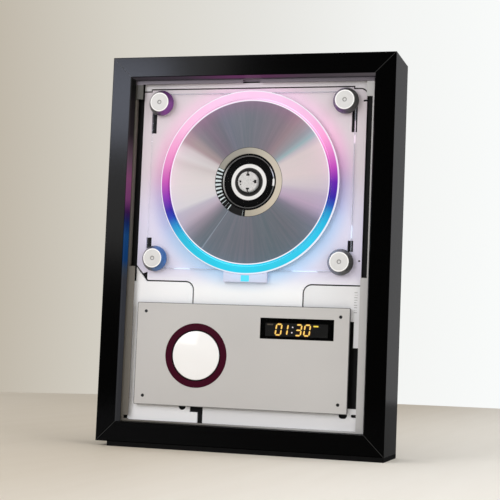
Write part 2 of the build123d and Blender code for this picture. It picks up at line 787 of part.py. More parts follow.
def surround():
    """The white plates around the deck: a strip above it and two plates below it."""
    left, right = -plate_edge_x, plate_edge_x
    strip = bar(left, right, plate_top + plate_gap, strip_top)
    strip_foot = plate_top - deck_corner_drop + plate_gap
    strip += bar(right - deck_corner_run + plate_gap, right, strip_foot, plate_top + plate_gap)
    corner_left = right - deck_corner_r
    rise = plate_top - deck_corner_drop - deck_corner_r
    corner = bar(corner_left, right, rise, strip_foot)
    strip += corner - Pos(corner_left, rise) * Circle(deck_corner_r + plate_gap)
    step_right = left + deck_step_width - plate_gap
    strip += bar(left, step_right, plate_top - deck_step + plate_gap, plate_top + plate_gap)
    sill = opening_bottom + liner_sill_gap + liner_sheet + plate_sill_gap
    upper = deck_bottom - plate_gap
    gap_left = cable_gap_x - cable_gap
    left_plate = bar(left - plate_tuck, neck_left - plate_gap, sill, upper)
    left_plate += bar(left, gap_left, sill, panel_mid_z)
    left_plate += Polygon((left, upper), (left + deck_chamfer_run - plate_gap, upper),
                          (left, upper + deck_chamfer_rise - plate_gap / 2), align=None)
    right_plate = bar(neck_right + plate_gap, right + plate_tuck, sill, upper)
    right_plate += bar(cable_gap_x, right, sill, panel_mid_z)
    for edge, way in ((neck_left - plate_gap, -1), (neck_right + plate_gap, 1)):
        radius = neck_fillet - plate_gap
        tip = bar(*sorted((edge, edge + way * radius)), upper - radius, upper)
        cut = tip - Pos(edge + way * radius, upper - radius) * Circle(radius)
        left_plate -= cut
        right_plate -= cut
    foot = bar(gap_left - cable_gap_foot + cable_gap, cable_gap_x, panel_bottom - cable_gap, panel_mid_z)
    left_plate -= foot
    left_plate -= Pos(gap_left - 3 * cable_gap, panel_bottom) * Circle(plate_hole_r)
    tab = RectangleRounded(tab_hole, tab_hole, tab_hole_r)
    right_plate -= Pos(right - tab_hole_inset, panel_bottom) * tab
    slot_right = right - side_slot_inset
    slot_foot = panel_bottom + side_slot_rise
    slot_left, slot_top = slot_right - side_slot_width, slot_foot + side_slot_height
    right_plate -= bar(slot_left, slot_right, slot_foot, slot_top)
    neck_top = slot_top + side_slot_neck_height
    right_plate -= bar(slot_left, slot_left + side_slot_neck_width, slot_top, neck_top)
    pin_slot = SlotOverall(pin_slot_width, pin_slot_height)
    right_plate -= Pos(right - pin_slot_inset, panel_bottom - pin_slot_drop) * pin_slot
    recess_edge = 2 * (housing_inset - neck_to_housing)
    recess = Pos(panel_x, panel_mid_z) * Rectangle(panel_width - recess_edge, panel_height - recess_edge)
    nodes = {"top_strip": plate(strip, plate_front, chassis_front)}
    for name, outline in (("left_plate", left_plate), ("right_plate", right_plate)):
        nodes[name] = plate(outline, plate_front, chassis_front) - plate(recess, plate_front, chassis_front)
    return nodes


# ---------------------------------------------------------------- clear base and thumb nuts
def nut_places():
    """Thumb nuts near the clear base's four corners."""
    return [(x, z) for z in (nut_high, nut_low) for x in (-nut_x, nut_x)]


def clear_base():
    """The clear sheet under the light ring, held by four studs and nuts."""
    outline = Pos(0, base_centre_z) * RectangleRounded(base_width, base_height, base_corner_r)
    outline -= laser_opening(base_well_r, base_slot_half, base_slot_end)
    outline -= [Pos(x, z) * Circle(stud_r + pilot_clearance) for x, z in nut_places()]
    sheet = plate(outline, base_front, plate_front)
    studs = []
    for x, z in nut_places():
        stud = rod(stud_r, nut_bore_end + stud_end_gap, chassis_back, x, z)
        studs.append(stud + rod(stud_head_r, chassis_back, chassis_back + stud_head, x, z))
    return {"clear_base": sheet, "base_studs": studs}


def thumb_nut(x, z):
    """A conical nut with a dished face and a blind threaded hole behind it."""
    bore_r = stud_r + thread_clearance
    profile = [(0, nut_front + nut_dimple_depth), (nut_dimple_r, nut_front),
               (nut_face_r - nut_bevel, nut_front), (nut_face_r, nut_front + nut_bevel),
               (nut_skirt_r, nut_back - nut_rim), (nut_skirt_r, nut_back), (bore_r, nut_back),
               (bore_r, nut_bore_end), (0, nut_bore_end)]
    return turned(profile, x, z)


def thumb_nuts():
    """The four nuts, each turning on its own stud."""
    names = ["thumb_nut_top_left", "thumb_nut_top_right", "thumb_nut_bottom_left", "thumb_nut_bottom_right"]
    return {name: thumb_nut(x, z) for name, (x, z) in zip(names, nut_places())}


# ---------------------------------------------------------------- light ring
def light_ring():
    """A channel-shaped diffuser with its board inside, and the block that feeds it."""
    board_front = base_front - ring_board_thickness
    channel = board_front - ring_board_clearance
    diffuser = turned([(ring_inner_r, ring_front), (ring_outer_r, ring_front), (ring_outer_r, base_front),
                       (ring_outer_r - ring_wall, base_front), (ring_outer_r - ring_wall, channel),
                       (ring_inner_r + ring_wall, channel), (ring_inner_r + ring_wall, base_front),
                       (ring_inner_r, base_front)], disc_x, disc_z)
    inner = ring_inner_r + ring_wall + ring_board_clearance
    outer = ring_outer_r - ring_wall - ring_board_clearance
    board = plate(Pos(disc_x, disc_z) * (Circle(outer) - Circle(inner)), board_front, base_front)
    feed_front = base_front - feed_cover
    half_feed = feed_width / 2
    block = plate(bar(disc_x - half_feed, disc_x + half_feed, deck_bottom, base_bottom - feed_gap),
                  feed_front, plate_front)
    block -= rod(ring_outer_r + feed_gap, feed_front, base_front, disc_x, disc_z)
    window_top = disc_z - ring_outer_r - feed_window_drop
    half_window = feed_window_width / 2
    window_face = bar(disc_x - half_window, disc_x + half_window, window_top - feed_window_height, window_top)
    window = plate(window_face, feed_front, feed_front + feed_window_sheet)
    block -= window
    return {"light_ring": diffuser, "ring_board": board, "ring_feed_block": block,
            "ring_feed_window": window}


# ---------------------------------------------------------------- spindle
def ball_angles():
    """Directions of the sprung balls round the hub, in degrees."""
    return [90 + 360 / hub_ball_count * i for i in range(hub_ball_count)]


def ball_point(angle, reach):
    """A point at this distance from the disc's axis, level with the balls."""
    behind = disc_front - hub_ball_r - hub_ball_drop
    return disc_x + reach * cos(radians(angle)), y_at(behind), disc_z + reach * sin(radians(angle))


def ball_pocket(angle):
    """The radial bore that a sprung ball sits in."""
    way = (cos(radians(angle)), 0, sin(radians(angle)))
    start = Plane(origin=ball_point(angle, hub_r - hub_ball_r - ball_pocket_depth), z_dir=way)
    return extrude(start * Circle(hub_ball_r + ball_pocket_play), amount=ball_pocket_depth + 2 * hub_ball_r)


def spindle():
    """Disc, hub, turntable, pad and shaft, which turn together."""
    groove_in = stacking_ring_r - stacking_ring_width / 2
    groove_out = stacking_ring_r + stacking_ring_width / 2
    disc = turned([(disc_hole_r, disc_front), (disc_r, disc_front), (disc_r, disc_back),
                   (groove_out, disc_back), (groove_out, disc_back + stacking_ring_height),
                   (groove_in, disc_back + stacking_ring_height), (groove_in, disc_back),
                   (disc_hole_r, disc_back)], disc_x, disc_z)
    table_front = disc_back + disc_seat_gap
    floor = table_front + pad_thickness
    web = floor + hub_web
    well = pad_inner_r - turntable_well
    table = turned([(spindle_r, web), (well, web), (well, table_front),
                    (pad_inner_r, table_front), (pad_inner_r, floor), (pad_outer_r, floor),
                    (pad_outer_r, table_front), (groove_in - groove_play, table_front),
                    (groove_in - groove_play, floor), (groove_out + groove_play, floor),
                    (groove_out + groove_play, table_front), (turntable_r, table_front),
                    (turntable_r, turntable_back), (spindle_r, turntable_back)], disc_x, disc_z)
    pad = turned([(pad_inner_r, table_front), (pad_outer_r, table_front), (pad_outer_r, floor),
                  (pad_inner_r, floor)], disc_x, disc_z)
    hub = turned([(0, hub_front), (hub_r - hub_edge, hub_front), (hub_r, hub_front + hub_edge),
                  (hub_r, web), (spindle_r, web), (spindle_r, hub_front + hub_cap),
                  (0, hub_front + hub_cap)], disc_x, disc_z)
    ball_reach = hub_r - hub_ball_r + hub_ball_proud
    balls = [Pos(*ball_point(angle, ball_reach)) * Sphere(hub_ball_r) for angle in ball_angles()]
    for angle in ball_angles():
        hub -= ball_pocket(angle)
    shaft_end = motor_front_behind + motor_length + spindle_end
    shaft = rod(spindle_r, hub_front + hub_cap, shaft_end, disc_x, disc_z)
    return {"disc": disc, "turntable": table, "turntable_pad": pad, "hub": [hub] + balls,
            "spindle_shaft": shaft}


def spindle_motor():
    """A flat motor whose flange is screwed behind the traverse plate."""
    bore = spindle_r + bearing_play
    end = motor_front_behind + motor_length
    can = turned([(bore, motor_front_behind - motor_boss), (motor_boss_r, motor_front_behind - motor_boss),
                  (motor_boss_r, motor_front_behind), (motor_r - motor_edge, motor_front_behind),
                  (motor_r, motor_front_behind + motor_edge), (motor_r, traverse_back),
                  (motor_flange_r, traverse_back), (motor_flange_r, traverse_back + motor_flange),
                  (motor_r, traverse_back + motor_flange), (motor_r, end), (motor_boss_r, end),
                  (motor_boss_r, end + motor_boss), (bore, end + motor_boss)], disc_x, disc_z)
    return {"spindle_motor": can}


# ---------------------------------------------------------------- traverse
def traverse():
    """The sprung plate that carries the spindle motor, the rods and the gears."""
    height = 2 * traverse_half_height
    middle_x = (traverse_left + traverse_right) / 2
    outline = Pos(middle_x, disc_z) * RectangleRounded(traverse_right - traverse_left, height,
                                                       traverse_corner_r)
    outline -= bar(rod_left + rod_cradle, rod_right - rod_cradle, disc_z - sled_half_height,
                   disc_z + sled_half_height)
    outline -= Pos(disc_x, disc_z) * Circle(motor_r + motor_to_plate)
    outline -= [Pos(x, z) * Circle(damper_hole_r) for x, z in damper_places()]
    body = plate(outline, traverse_behind, traverse_back)
    for left in (rod_left, rod_right - rod_cradle):
        for z in (disc_z - rod_half_z, disc_z + rod_half_z):
            block = bar(left, left + rod_cradle, z - rod_cradle_height, z + rod_cradle_height)
            body += plate(block, traverse_back, rod_behind + rod_r + rod_cradle_wall)
    rods = []
    for z in (disc_z - rod_half_z, disc_z + rod_half_z):
        start = Plane(origin=(rod_left, y_at(rod_behind), z), z_dir=(1, 0, 0))
        body -= extrude(start * Circle(rod_r + pilot_clearance), amount=rod_right - rod_left)
        rods.append(extrude(start * Circle(rod_r), amount=rod_right - rod_left))
    body += rod(idler_pin_r + idler_pin_collar, traverse_back, rack_front - idler_end_play, idler_x, idler_z)
    body += rod(idler_pin_r, traverse_back, large_back + idler_pin_end, idler_x, idler_z)
    dampers, screws = [], []
    waist_r = damper_hole_r - damper_fit
    bore = damper_screw_r + damper_screw_play
    for x, z in damper_places():
        dampers.append(turned([(bore, chassis_back), (damper_r, chassis_back), (damper_r, traverse_behind),
                               (waist_r, traverse_behind), (waist_r, traverse_back),
                               (damper_r, traverse_back), (damper_r, traverse_back + damper_back),
                               (bore, traverse_back + damper_back)], x, z))
        screws.append(screw(damper_screw_r, damper_screw_head_r, traverse_back + damper_back,
                            damper_screw_head, chassis_front, x, z))
    return {"traverse_plate": body, "guide_rods": rods, "rubber_dampers": dampers}, screws


# ---------------------------------------------------------------- gears
def involute_point(base_r, radius, offset):
    """A point of an involute at this radius; offset is the angle at which it leaves the base circle."""
    roll = acos(min(1.0, base_r / radius))
    angle = offset + tan(roll) - roll
    return radius * cos(angle), radius * sin(angle)


def gear_outline(teeth, centre_angle):
    """A spur gear with one tooth centred on centre_angle. Each flank is an arc through three
    points of its involute, and runs straight to the root below the base circle."""
    pitch_r = module * teeth / 2
    base_r = pitch_r * cos(radians(pressure_angle))
    tip_r = pitch_r + tooth_addendum * module
    root_r = pitch_r - tooth_dedendum * module
    roll = tan(radians(pressure_angle)) - radians(pressure_angle)
    half_tooth = pi / teeth / 2 - tooth_backlash / 2 / pitch_r
    start = max(base_r, root_r)
    edges = []
    previous = None
    first = None
    for i in range(teeth):
        middle = radians(centre_angle) + 2 * pi * i / teeth
        low = [involute_point(base_r, r, 0) for r in (start, (start + tip_r) / 2, tip_r)]
        shift = half_tooth + roll

        def place(point, side):
            angle = atan2(point[1], point[0])
            size = hypot(*point)
            turn = middle + side * (shift - angle)
            return size * cos(turn), size * sin(turn)

        rising = [place(p, -1) for p in low]
        falling = [place(p, 1) for p in reversed(low)]
        foot_angle = middle - shift
        root_in = (root_r * cos(foot_angle), root_r * sin(foot_angle))
        foot_angle = middle + shift
        root_out = (root_r * cos(foot_angle), root_r * sin(foot_angle))
        if previous is not None:
            edges.append(Line(previous, root_in))
        if base_r > root_r:
            edges.append(Line(root_in, rising[0]))
        edges.append(ThreePointArc(*rising))
        edges.append(Line(rising[-1], falling[0]))
        edges.append(ThreePointArc(*falling))
        if base_r > root_r:
            edges.append(Line(falling[-1], root_out))
            previous = root_out
            first = first or root_in
        else:
            previous = falling[-1]
            first = first or rising[0]
    edges.append(Line(previous, first))
    return make_face(edges)


def gears():
    """The compound idler on its pin and the pinion on the motor's shaft."""
    small = Pos(idler_x, idler_z) * gear_outline(small_teeth, 90)
    large = Pos(idler_x, idler_z) * gear_outline(large_teeth, pinion_angle)
    pinion_tooth = pinion_angle + 180 + 180 / pinion_teeth
    pinion = Pos(pinion_x, pinion_z) * gear_outline(pinion_teeth, pinion_tooth)
    neck_r = small_r - tooth_dedendum * module
    idler = plate(small, rack_front, rack_front + rack_face)
    idler += rod(neck_r, rack_front, large_back, idler_x, idler_z)
    idler += plate(large, large_front, large_back)
    reach = (large_r + neck_r) / 2
    for i in range(lightening_holes):
        angle = 2 * pi * i / lightening_holes
        hole_x, hole_z = idler_x + reach * cos(angle), idler_z + reach * sin(angle)
        idler -= rod(lightening_hole_r, large_front, large_back, hole_x, hole_z)
    idler -= rod(idler_pin_r + idler_bore_play, rack_front, large_back, idler_x, idler_z)
    drive = plate(pinion, pinion_front, pinion_front + pinion_face)
    drive -= rod(sled_motor_shaft_r, pinion_front, pinion_front + pinion_face, pinion_x, pinion_z)
    shaft_end = motor_shelf + motor_bracket_sheet + sled_motor_shaft_bite
    shaft = rod(sled_motor_shaft_r, pinion_front, shaft_end, pinion_x, pinion_z)
    return {"idler_gear": idler, "motor_pinion": [drive, shaft]}


def sled_motor():
    """The sled motor on a bracket that stands on the traverse plate."""
    shelf_back = motor_shelf + motor_bracket_sheet
    bore = sled_motor_shaft_r + bearing_play
    bore_end = shelf_back + sled_motor_shaft_bite + bearing_play
    end = shelf_back + sled_motor_length
    can = turned([(bore, motor_shelf), (sled_motor_boss_r, motor_shelf), (sled_motor_boss_r, shelf_back),
                  (sled_motor_r, shelf_back), (sled_motor_r, end), (0, end), (0, bore_end),
                  (bore, bore_end)], pinion_x, pinion_z)
    low = pinion_z - sled_motor_r - motor_bracket_margin
    left, right = pinion_x - sled_motor_r, pinion_x + sled_motor_r
    shelf = bar(left, right, low, pinion_z + sled_motor_boss_r + motor_bracket_margin)
    shelf -= Pos(pinion_x, pinion_z) * Circle(sled_motor_boss_r + pilot_clearance)
    bracket = plate(shelf, motor_shelf, shelf_back)
    bracket += plate(bar(left, right, low, low + motor_bracket_sheet), traverse_back, shelf_back)
    foot_z = disc_z - traverse_half_height
    bracket += plate(bar(left, right, min(low, foot_z), foot_z + motor_bracket_foot), traverse_back,
                     traverse_back + motor_bracket_sheet)
    return {"sled_motor": can, "motor_bracket": bracket}


# ---------------------------------------------------------------- laser sled
def sled():
    """The laser sled on its two rods, with the rack along its lower edge."""
    left, right = lens_x - sled_outer, lens_x + sled_inner
    half_height = sled_half_height - seat_gap
    body = plate(bar(left, right, disc_z - half_height, disc_z + half_height), sled_front_behind, sled_back)
    turntable_side = Pos(disc_x, disc_z) * Circle(motor_flange_r + 2 * seat_gap)
    body -= plate(turntable_side, sled_front_behind, sled_back)
    for z in (disc_z - rod_half_z, disc_z + rod_half_z):
        start = Plane(origin=(left, y_at(rod_behind), z), z_dir=(1, 0, 0))
        body -= extrude(start * Circle(rod_r + rod_play), amount=right - left)
    open_side = disc_z - rod_half_z
    body -= plate(bar(left, right, open_side - rod_r - rod_play, open_side + rod_r + rod_play),
                  rod_behind, sled_back)
    body += plate(bar(lens_x - actuator_length / 2, lens_x + actuator_length / 2,
                      disc_z - actuator_height / 2, disc_z + actuator_height / 2),
                  actuator_front_behind, sled_front_behind)
    well_floor = sled_front_behind + actuator_well
    body -= rod(lens_holder_r + lens_gap, actuator_front_behind, well_floor, lens_x, disc_z)
    pitch = pi * module
    half_width = pitch / 4 - tooth_backlash / 4
    slope = tan(radians(pressure_angle))
    tip = rack_pitch_z - tooth_addendum * module
    root = rack_pitch_z + tooth_dedendum * module
    rack_right = idler_x + sled_travel + small_r
    rack_left = idler_x - small_r
    strip = bar(rack_left, rack_right, root, disc_z - half_height)
    count = int((rack_right - rack_left) / pitch) - 1
    first = -int((small_r - pitch) / pitch)
    wide = half_width + (root - rack_pitch_z) * slope
    narrow = half_width - (rack_pitch_z - tip) * slope
    for i in range(first, first + count):
        middle = idler_x + pitch * (i + 0.5)
        strip += Polygon((middle - wide, root), (middle - narrow, tip), (middle + narrow, tip),
                         (middle + wide, root), align=None)
    body += plate(strip, rack_front, rack_front + rack_face)
    lens_back = lens_front_behind + lens_thickness
    holder_back = sled_front_behind + lens_seat
    holder = turned([(0, lens_front_behind), (lens_r - 2 * lens_edge, lens_front_behind),
                     (lens_r, lens_front_behind + lens_edge), (lens_r, lens_back), (lens_holder_r, lens_back),
                     (lens_holder_r, holder_back), (0, holder_back)], lens_x, disc_z)
    return {"laser_sled": body, "lens_holder": holder}


# ---------------------------------------------------------------- control panel
def panel_screw_places():
    """Screws near the control panel's four corners."""
    x = panel_width / 2 - panel_screw_inset_x
    z = panel_height / 2 - panel_screw_inset_z
    return [(panel_x + px, panel_mid_z + pz) for px in (-x, x) for pz in (-z, z)]


def control_panel():
    """The blasted metal panel, the black housing behind it and its four screws."""
    middle = Pos(panel_x, panel_mid_z)
    face = middle * RectangleRounded(panel_width, panel_height, panel_corner_r)
    face -= Pos(knob_x, knob_z) * Circle(knob_ring_outer_r + knob_ring_clearance)
    face -= Pos(window_x, window_z) * Rectangle(window_width, window_height)
    panel = plate(face, panel_front, panel_back)
    width, height = panel_width - 2 * housing_inset, panel_height - 2 * housing_inset
    wall = middle * Rectangle(width, height)
    wall -= middle * Rectangle(width - 2 * housing_wall, height - 2 * housing_wall)
    for x, z in panel_screw_places():
        side = 1 if x > 0 else -1
        rise = 1 if z > panel_mid_z else -1
        web = bar(*sorted((x, panel_x + side * (width / 2 - housing_wall / 2))),
                  *sorted((z, panel_mid_z + rise * (height / 2 - housing_wall / 2))))
        wall += Pos(x, z) * Circle(panel_boss_r) + web
    housing = plate(wall, panel_back, chassis_front)
    screws = []
    for x, z in panel_screw_places():
        head_back = panel_front + panel_screw_head
        panel -= rod(panel_screw_r + pilot_clearance, panel_front, panel_back, x, z)
        panel -= rod(panel_screw_head_r + pilot_clearance, panel_front, head_back, x, z)
        housing -= rod(panel_screw_r + pilot_clearance, panel_back, chassis_front, x, z)
        screws.append(rod(panel_screw_head_r, panel_front, head_back, x, z)
                      + rod(panel_screw_r, head_back, chassis_back, x, z))
    return {"control_panel": panel, "panel_housing": housing, "panel_screws": screws}


def control_knob():
    """The push-and-turn knob in its trim ring, with the encoder behind it."""
    inner = knob_r + knob_ring_gap
    trim = turned([(inner, panel_front), (knob_ring_outer_r, panel_front), (knob_ring_outer_r, panel_back),
                   (knob_ring_outer_r + knob_ring_flange, panel_back),
                   (knob_ring_outer_r + knob_ring_flange, panel_front + knob_ring_depth),
                   (inner, panel_front + knob_ring_depth)], knob_x, knob_z)
    rim_back = panel_front + knob_skirt
    crown = panel_front - knob_dome
    roof = panel_front + knob_wall
    skirt_in = knob_r - knob_wall
    socket_r = shaft_r + knob_socket_wall
    dome_r = (knob_r ** 2 + knob_dome ** 2) / (2 * knob_dome)
    halfway = crown + dome_r - (dome_r ** 2 - (knob_r / 2) ** 2) ** 0.5
    crown_line = ThreePointArc((knob_x, y_at(crown), knob_z), (knob_x + knob_r / 2, y_at(halfway), knob_z),
                               (knob_x + knob_r, y_at(panel_front), knob_z))
    corners = [(knob_r, panel_front), (knob_r, rim_back), (skirt_in, rim_back), (skirt_in, roof),
               (socket_r, roof), (socket_r, rim_back), (shaft_r, rim_back), (shaft_r, roof), (0, roof),
               (0, crown)]
    inside = Polyline(*[(knob_x + radius, y_at(behind), knob_z) for radius, behind in corners])
    cap = revolve(make_face([crown_line, inside]), axis=Axis((knob_x, 0, knob_z), (0, 1, 0)))
    plunger_front = encoder_front + encoder_roof
    shaft = rod(shaft_r, roof, plunger_front - seat_gap, knob_x, knob_z)
    cavity_back = plunger_front + plunger_height + knob_travel + plunger_end_gap
    body = plate(Pos(knob_x, knob_z) * Rectangle(encoder_size, encoder_size), encoder_front,
                 control_board_behind)
    body -= rod(shaft_r + shaft_play, encoder_front, plunger_front, knob_x, knob_z)
    body -= rod(plunger_r + plunger_play, plunger_front - seat_gap, cavity_back, knob_x, knob_z)
    plunger = rod(plunger_r, plunger_front, plunger_front + plunger_height, knob_x, knob_z)
    return {"knob_trim_ring": trim, "control_knob": cap, "encoder_shaft": shaft, "encoder": body,
            "encoder_plunger": plunger}


def display():
    """The dark window in the panel and the display module on the control board."""
    width, height = window_width - 2 * window_clearance, window_height - 2 * window_clearance
    face = Pos(window_x, window_z) * Rectangle(width, height)
    window = plate(face, panel_front, panel_front + window_sheet)
    wide = Rectangle(window_width + display_margin, window_height + display_margin)
    block_back = panel_back + display_height
    block = plate(Pos(window_x, window_z) * wide, panel_back, block_back)
    for row in (window_z - display_pin_row, window_z + display_pin_row):
        pins = Pos(window_x, row) * Rectangle(window_width, display_pin_width)
        block += plate(pins, block_back, control_board_behind)
    return {"display_window": window, "display_module": block}


# ---------------------------------------------------------------- boards
def ribbon_x():
    """X of the ribbon's middle."""
    return control_board_width / 2 - ribbon_width - ribbon_from_board_end


def ribbon_socket(front, back):
    """A socket that the ribbon plugs into."""
    top = panel_mid_z - ribbon_below_panel_middle
    half = ribbon_width / 2 + socket_side
    return plate(bar(ribbon_x() - half, ribbon_x() + half, top - socket_depth, top), front, back)


def main_board_posts():
    """Posts for the main board on the back panel."""
    x = main_board_width / 2 - post_inset
    low = main_board_bottom + post_inset
    high = main_board_bottom + main_board_height - post_inset
    return [(px, pz) for px in (-x, x) for pz in (low, high)]


def control_board():
    """The board behind the panel, on posts that stand on the chassis."""
    face = Pos(0, panel_mid_z) * Rectangle(control_board_width, control_board_height)
    face -= [Pos(x, z) * Circle(post_screw_r + pilot_clearance) for x, z in board_post_places()]
    board = plate(face, control_board_behind, control_board_back)
    board += ribbon_socket(control_board_back, control_board_back + socket_height)
    posts = []
    screw_end = control_board_back + post_screw_end
    for x, z in board_post_places():
        post = rod(post_r, chassis_back, control_board_behind, x, z)
        posts.append(post + rod(post_screw_r, control_board_behind, screw_end, x, z))
    return {"control_board": board}, posts


def main_board():
    """The main board with its chips and coils, and the ribbon that joins it to the other board."""
    middle = main_board_bottom + main_board_height / 2
    face = Pos(0, middle) * Rectangle(main_board_width, main_board_height)
    face -= [Pos(x, z) * Circle(post_screw_r + pilot_clearance) for x, z in main_board_posts()]
    board = plate(face, main_board_front, main_board_back)
    board += ribbon_socket(main_board_front - socket_height, main_board_front)
    low_face = control_board_back + socket_height
    high_face = main_board_front - socket_height
    middle_z = panel_mid_z - ribbon_below_panel_middle - socket_depth / 2
    centre = (low_face + high_face) / 2
    path = [(middle_z, low_face), (middle_z - ribbon_sag, centre), (middle_z, high_face)]
    side = Plane(origin=(ribbon_x() - ribbon_width / 2, 0, 0), x_dir=(0, 1, 0), z_dir=(1, 0, 0))
    strap = extrude(side * offset_strip(path), amount=ribbon_width, dir=(1, 0, 0))
    return {"main_board": [board] + board_parts(middle), "board_ribbon": strap}


def board_parts(middle):
    """Chips, a coil and three capacitors on the main board's front face."""
    left = -main_board_width / 4
    centre = left + chip_pitch
    parts = []
    for x, z, width, height, rise in (
            (left, middle, driver_chip, driver_chip, chip_thickness),
            (centre, middle + audio_chip, audio_chip, audio_chip, chip_thickness),
            (left, middle - chip_pitch, memory_chip_width, memory_chip_height, chip_thickness),
            (centre + chip_pitch, middle, coil_size, coil_size, coil_height),
            (centre, middle - audio_chip, power_chip_width, power_chip_height, chip_thickness)):
        outline = Pos(x, z) * Rectangle(width, height)
        parts.append(plate(outline, main_board_front - rise, main_board_front))
    row = left - driver_chip / 2 - capacitor_pitch
    for i in range(3):
        place = middle + (i - 0.5) * capacitor_pitch
        parts.append(rod(capacitor_r, main_board_front - capacitor_height, main_board_front, row, place))
    return parts


def offset_strip(path):
    """The ribbon's edge view: an arc through three points with the ribbon's thickness."""
    half = ribbon_thickness / 2
    low = [(y_at(behind), z - half) for z, behind in path]
    high = [(y_at(behind), z + half) for z, behind in reversed(path)]
    return make_face([ThreePointArc(*low), Line(low[-1], high[0]), ThreePointArc(*high),
                      Line(high[-1], low[0])])


def connectors():
    """Power inlet, headphone jack and power switch, on the main board's back face."""
    z = well_mid_z
    shell = Pos(inlet_x, z) * SlotOverall(inlet_width, inlet_height)
    bore = Pos(inlet_x, z) * SlotOverall(inlet_width - 2 * inlet_wall, inlet_height - 2 * inlet_wall)
    tongue = Pos(inlet_x, z) * Rectangle(inlet_width - 2 * inlet_tongue_side, inlet_tongue)
    floor = main_board_back + inlet_back_wall
    inlet = plate(shell, main_board_back, well_floor_back) - plate(bore, floor, well_floor_back)
    inlet += plate(tongue, main_board_back, well_floor_back - inlet_tongue_drop)
    jack = plate(Pos(jack_x, z) * Rectangle(jack_body, jack_body), main_board_back, well_floor_front)
    jack += rod(jack_r, well_floor_front, well_floor_back, jack_x, z)
    jack -= rod(jack_bore_r, main_board_back, well_floor_back, jack_x, z)
    case = plate(Pos(switch_x, z) * Rectangle(switch_width, switch_height), main_board_back,
                 well_floor_front)
    pocket_front = well_floor_front - switch_pocket
    case -= plate(slider_slot(), pocket_front, well_floor_front)
    grip = plate(Pos(switch_x - switch_travel / 2, z) * Rectangle(slider_width, slider_height),
                 pocket_front + seat_gap, well_floor_back + slider_rise)
    return {"power_inlet": inlet, "headphone_jack": jack, "power_switch": case, "switch_slider": grip}


def slider_slot():
    """The slot that the switch's slider moves along."""
    return Pos(switch_x, well_mid_z) * Rectangle(slider_width + switch_travel + 2 * slider_play,
                                                 slider_height + 2 * slider_play)


# ---------------------------------------------------------------- back
def back_screw_places():
    """Screws round the back panel's edge."""
    side = opening_x + liner_seat_width + back_seat_width / 2
    low = opening_bottom - liner_seat_width - back_seat_width / 2
    high = opening_top + liner_seat_width + back_seat_width / 2
    heights = (low + back_screw_end, (low + high) / 2, high - back_screw_end)
    places = [(x, z) for x in mirrored_x(side) for z in heights]
    return places + [(x, z) for x in mirrored_x(back_screw_x) for z in (low, high)]


def keyhole(margin):
    """A round entry with a narrower slot above it."""
    slot = keyhole_slot_r + margin
    shape = Circle(keyhole_entry_r + margin) + Pos(0, keyhole_rise / 2) * Rectangle(2 * slot, keyhole_rise)
    return shape + Pos(0, keyhole_rise) * Circle(slot)


def back():
    """The back panel with its connector well, vents and hanging plates."""
    step = liner_seat_width + back_seat_width - back_panel_clearance
    outline = bar(-opening_x - step, opening_x + step, opening_bottom - step, opening_top + step)
    panel = plate(outline, back_seat, back_face)
    z = well_mid_z
    well = Pos(0, z) * RectangleRounded(well_width, well_height, well_corner_r)
    pocket = Pos(0, z) * RectangleRounded(well_width + 2 * well_wall, well_height + 2 * well_wall,
                                          well_corner_r + well_wall)
    panel += plate(pocket, well_floor_front, back_seat)
    panel -= plate(well, well_floor_back, back_face)
    clear = connector_clearance
    inlet_hole = Pos(inlet_x, z) * SlotOverall(inlet_width + 2 * clear, inlet_height + 2 * clear)
    panel -= plate(inlet_hole + slider_slot(), well_floor_front, well_floor_back)
    panel -= rod(jack_r + clear, well_floor_front, well_floor_back, jack_x, z)
    for i in range(vent_count):
        x = (i - (vent_count - 1) / 2) * vent_pitch
        vent = Pos(x, vent_z) * SlotOverall(vent_height, vent_width, rotation=90)
        panel -= plate(vent, back_seat, back_face)
    board_screws = []
    screw_tip = main_board_back + post_screw_bite - post_screw_gap
    for x, z in main_board_posts():
        panel += rod(post_r, main_board_back, back_seat, x, z)
        panel -= rod(post_screw_r + pilot_clearance, main_board_back, main_board_back + post_screw_bite, x, z)
        board_screws.append(screw(post_screw_r, post_screw_head_r, main_board_front - post_screw_head,
                                  post_screw_head, screw_tip, x, z))
    screws = []
    for x, z in back_screw_places():
        panel -= rod(back_screw_r + pilot_clearance, back_seat, back_face, x, z)
        screws.append(screw(back_screw_r, back_screw_head_r, back_face, back_screw_head,
                            back_seat - back_screw_bite, x, z))
    hangers = []
    for x in mirrored_x(keyhole_half_spacing):
        panel -= plate(Pos(x, keyhole_z) * keyhole(keyhole_pocket_margin), back_seat, back_face)
        blank = RectangleRounded(keyhole_plate_width, keyhole_plate_height, keyhole_plate_corner_r)
        face = Pos(x, keyhole_z + keyhole_rise / 2) * blank - Pos(x, keyhole_z) * keyhole(0)
        hangers.append(plate(face, back_face, frame_depth))
    cell = RectangleRounded(battery_width, battery_height, battery_corner_r)
    battery = plate(Pos(0, battery_bottom + battery_height / 2) * cell, back_seat - battery_depth, back_seat)
    nodes = {"back_panel": panel, "keyhole_plates": hangers, "battery_pack": battery}
    return nodes, screws, board_screws


# ---------------------------------------------------------------- the player
def build_nodes():
    """Every node by name: one solid each, or a list of solids where like pieces share a node."""
    brackets, bracket_screws = corner_fittings()
    tray, tray_screws = chassis()
    drive, damper_screws = traverse()
    front_board, posts = control_board()
    rear, back_screws, board_screws = back()
    nodes = {"frame_screws": bracket_screws + back_screws, "chassis_screws": tray_screws + damper_screws,
             "board_posts": posts + board_screws, "deck_plate": deck()}
    for group in (frame_rails(), base_strip(), brackets, liner(), tray, surround(), clear_base(),
                  thumb_nuts(), light_ring(), spindle(), spindle_motor(), drive, gears(), sled_motor(),
                  sled(), control_panel(), control_knob(), display(), front_board, main_board(),
                  connectors(), rear):
        nodes.update(group)
    return nodes


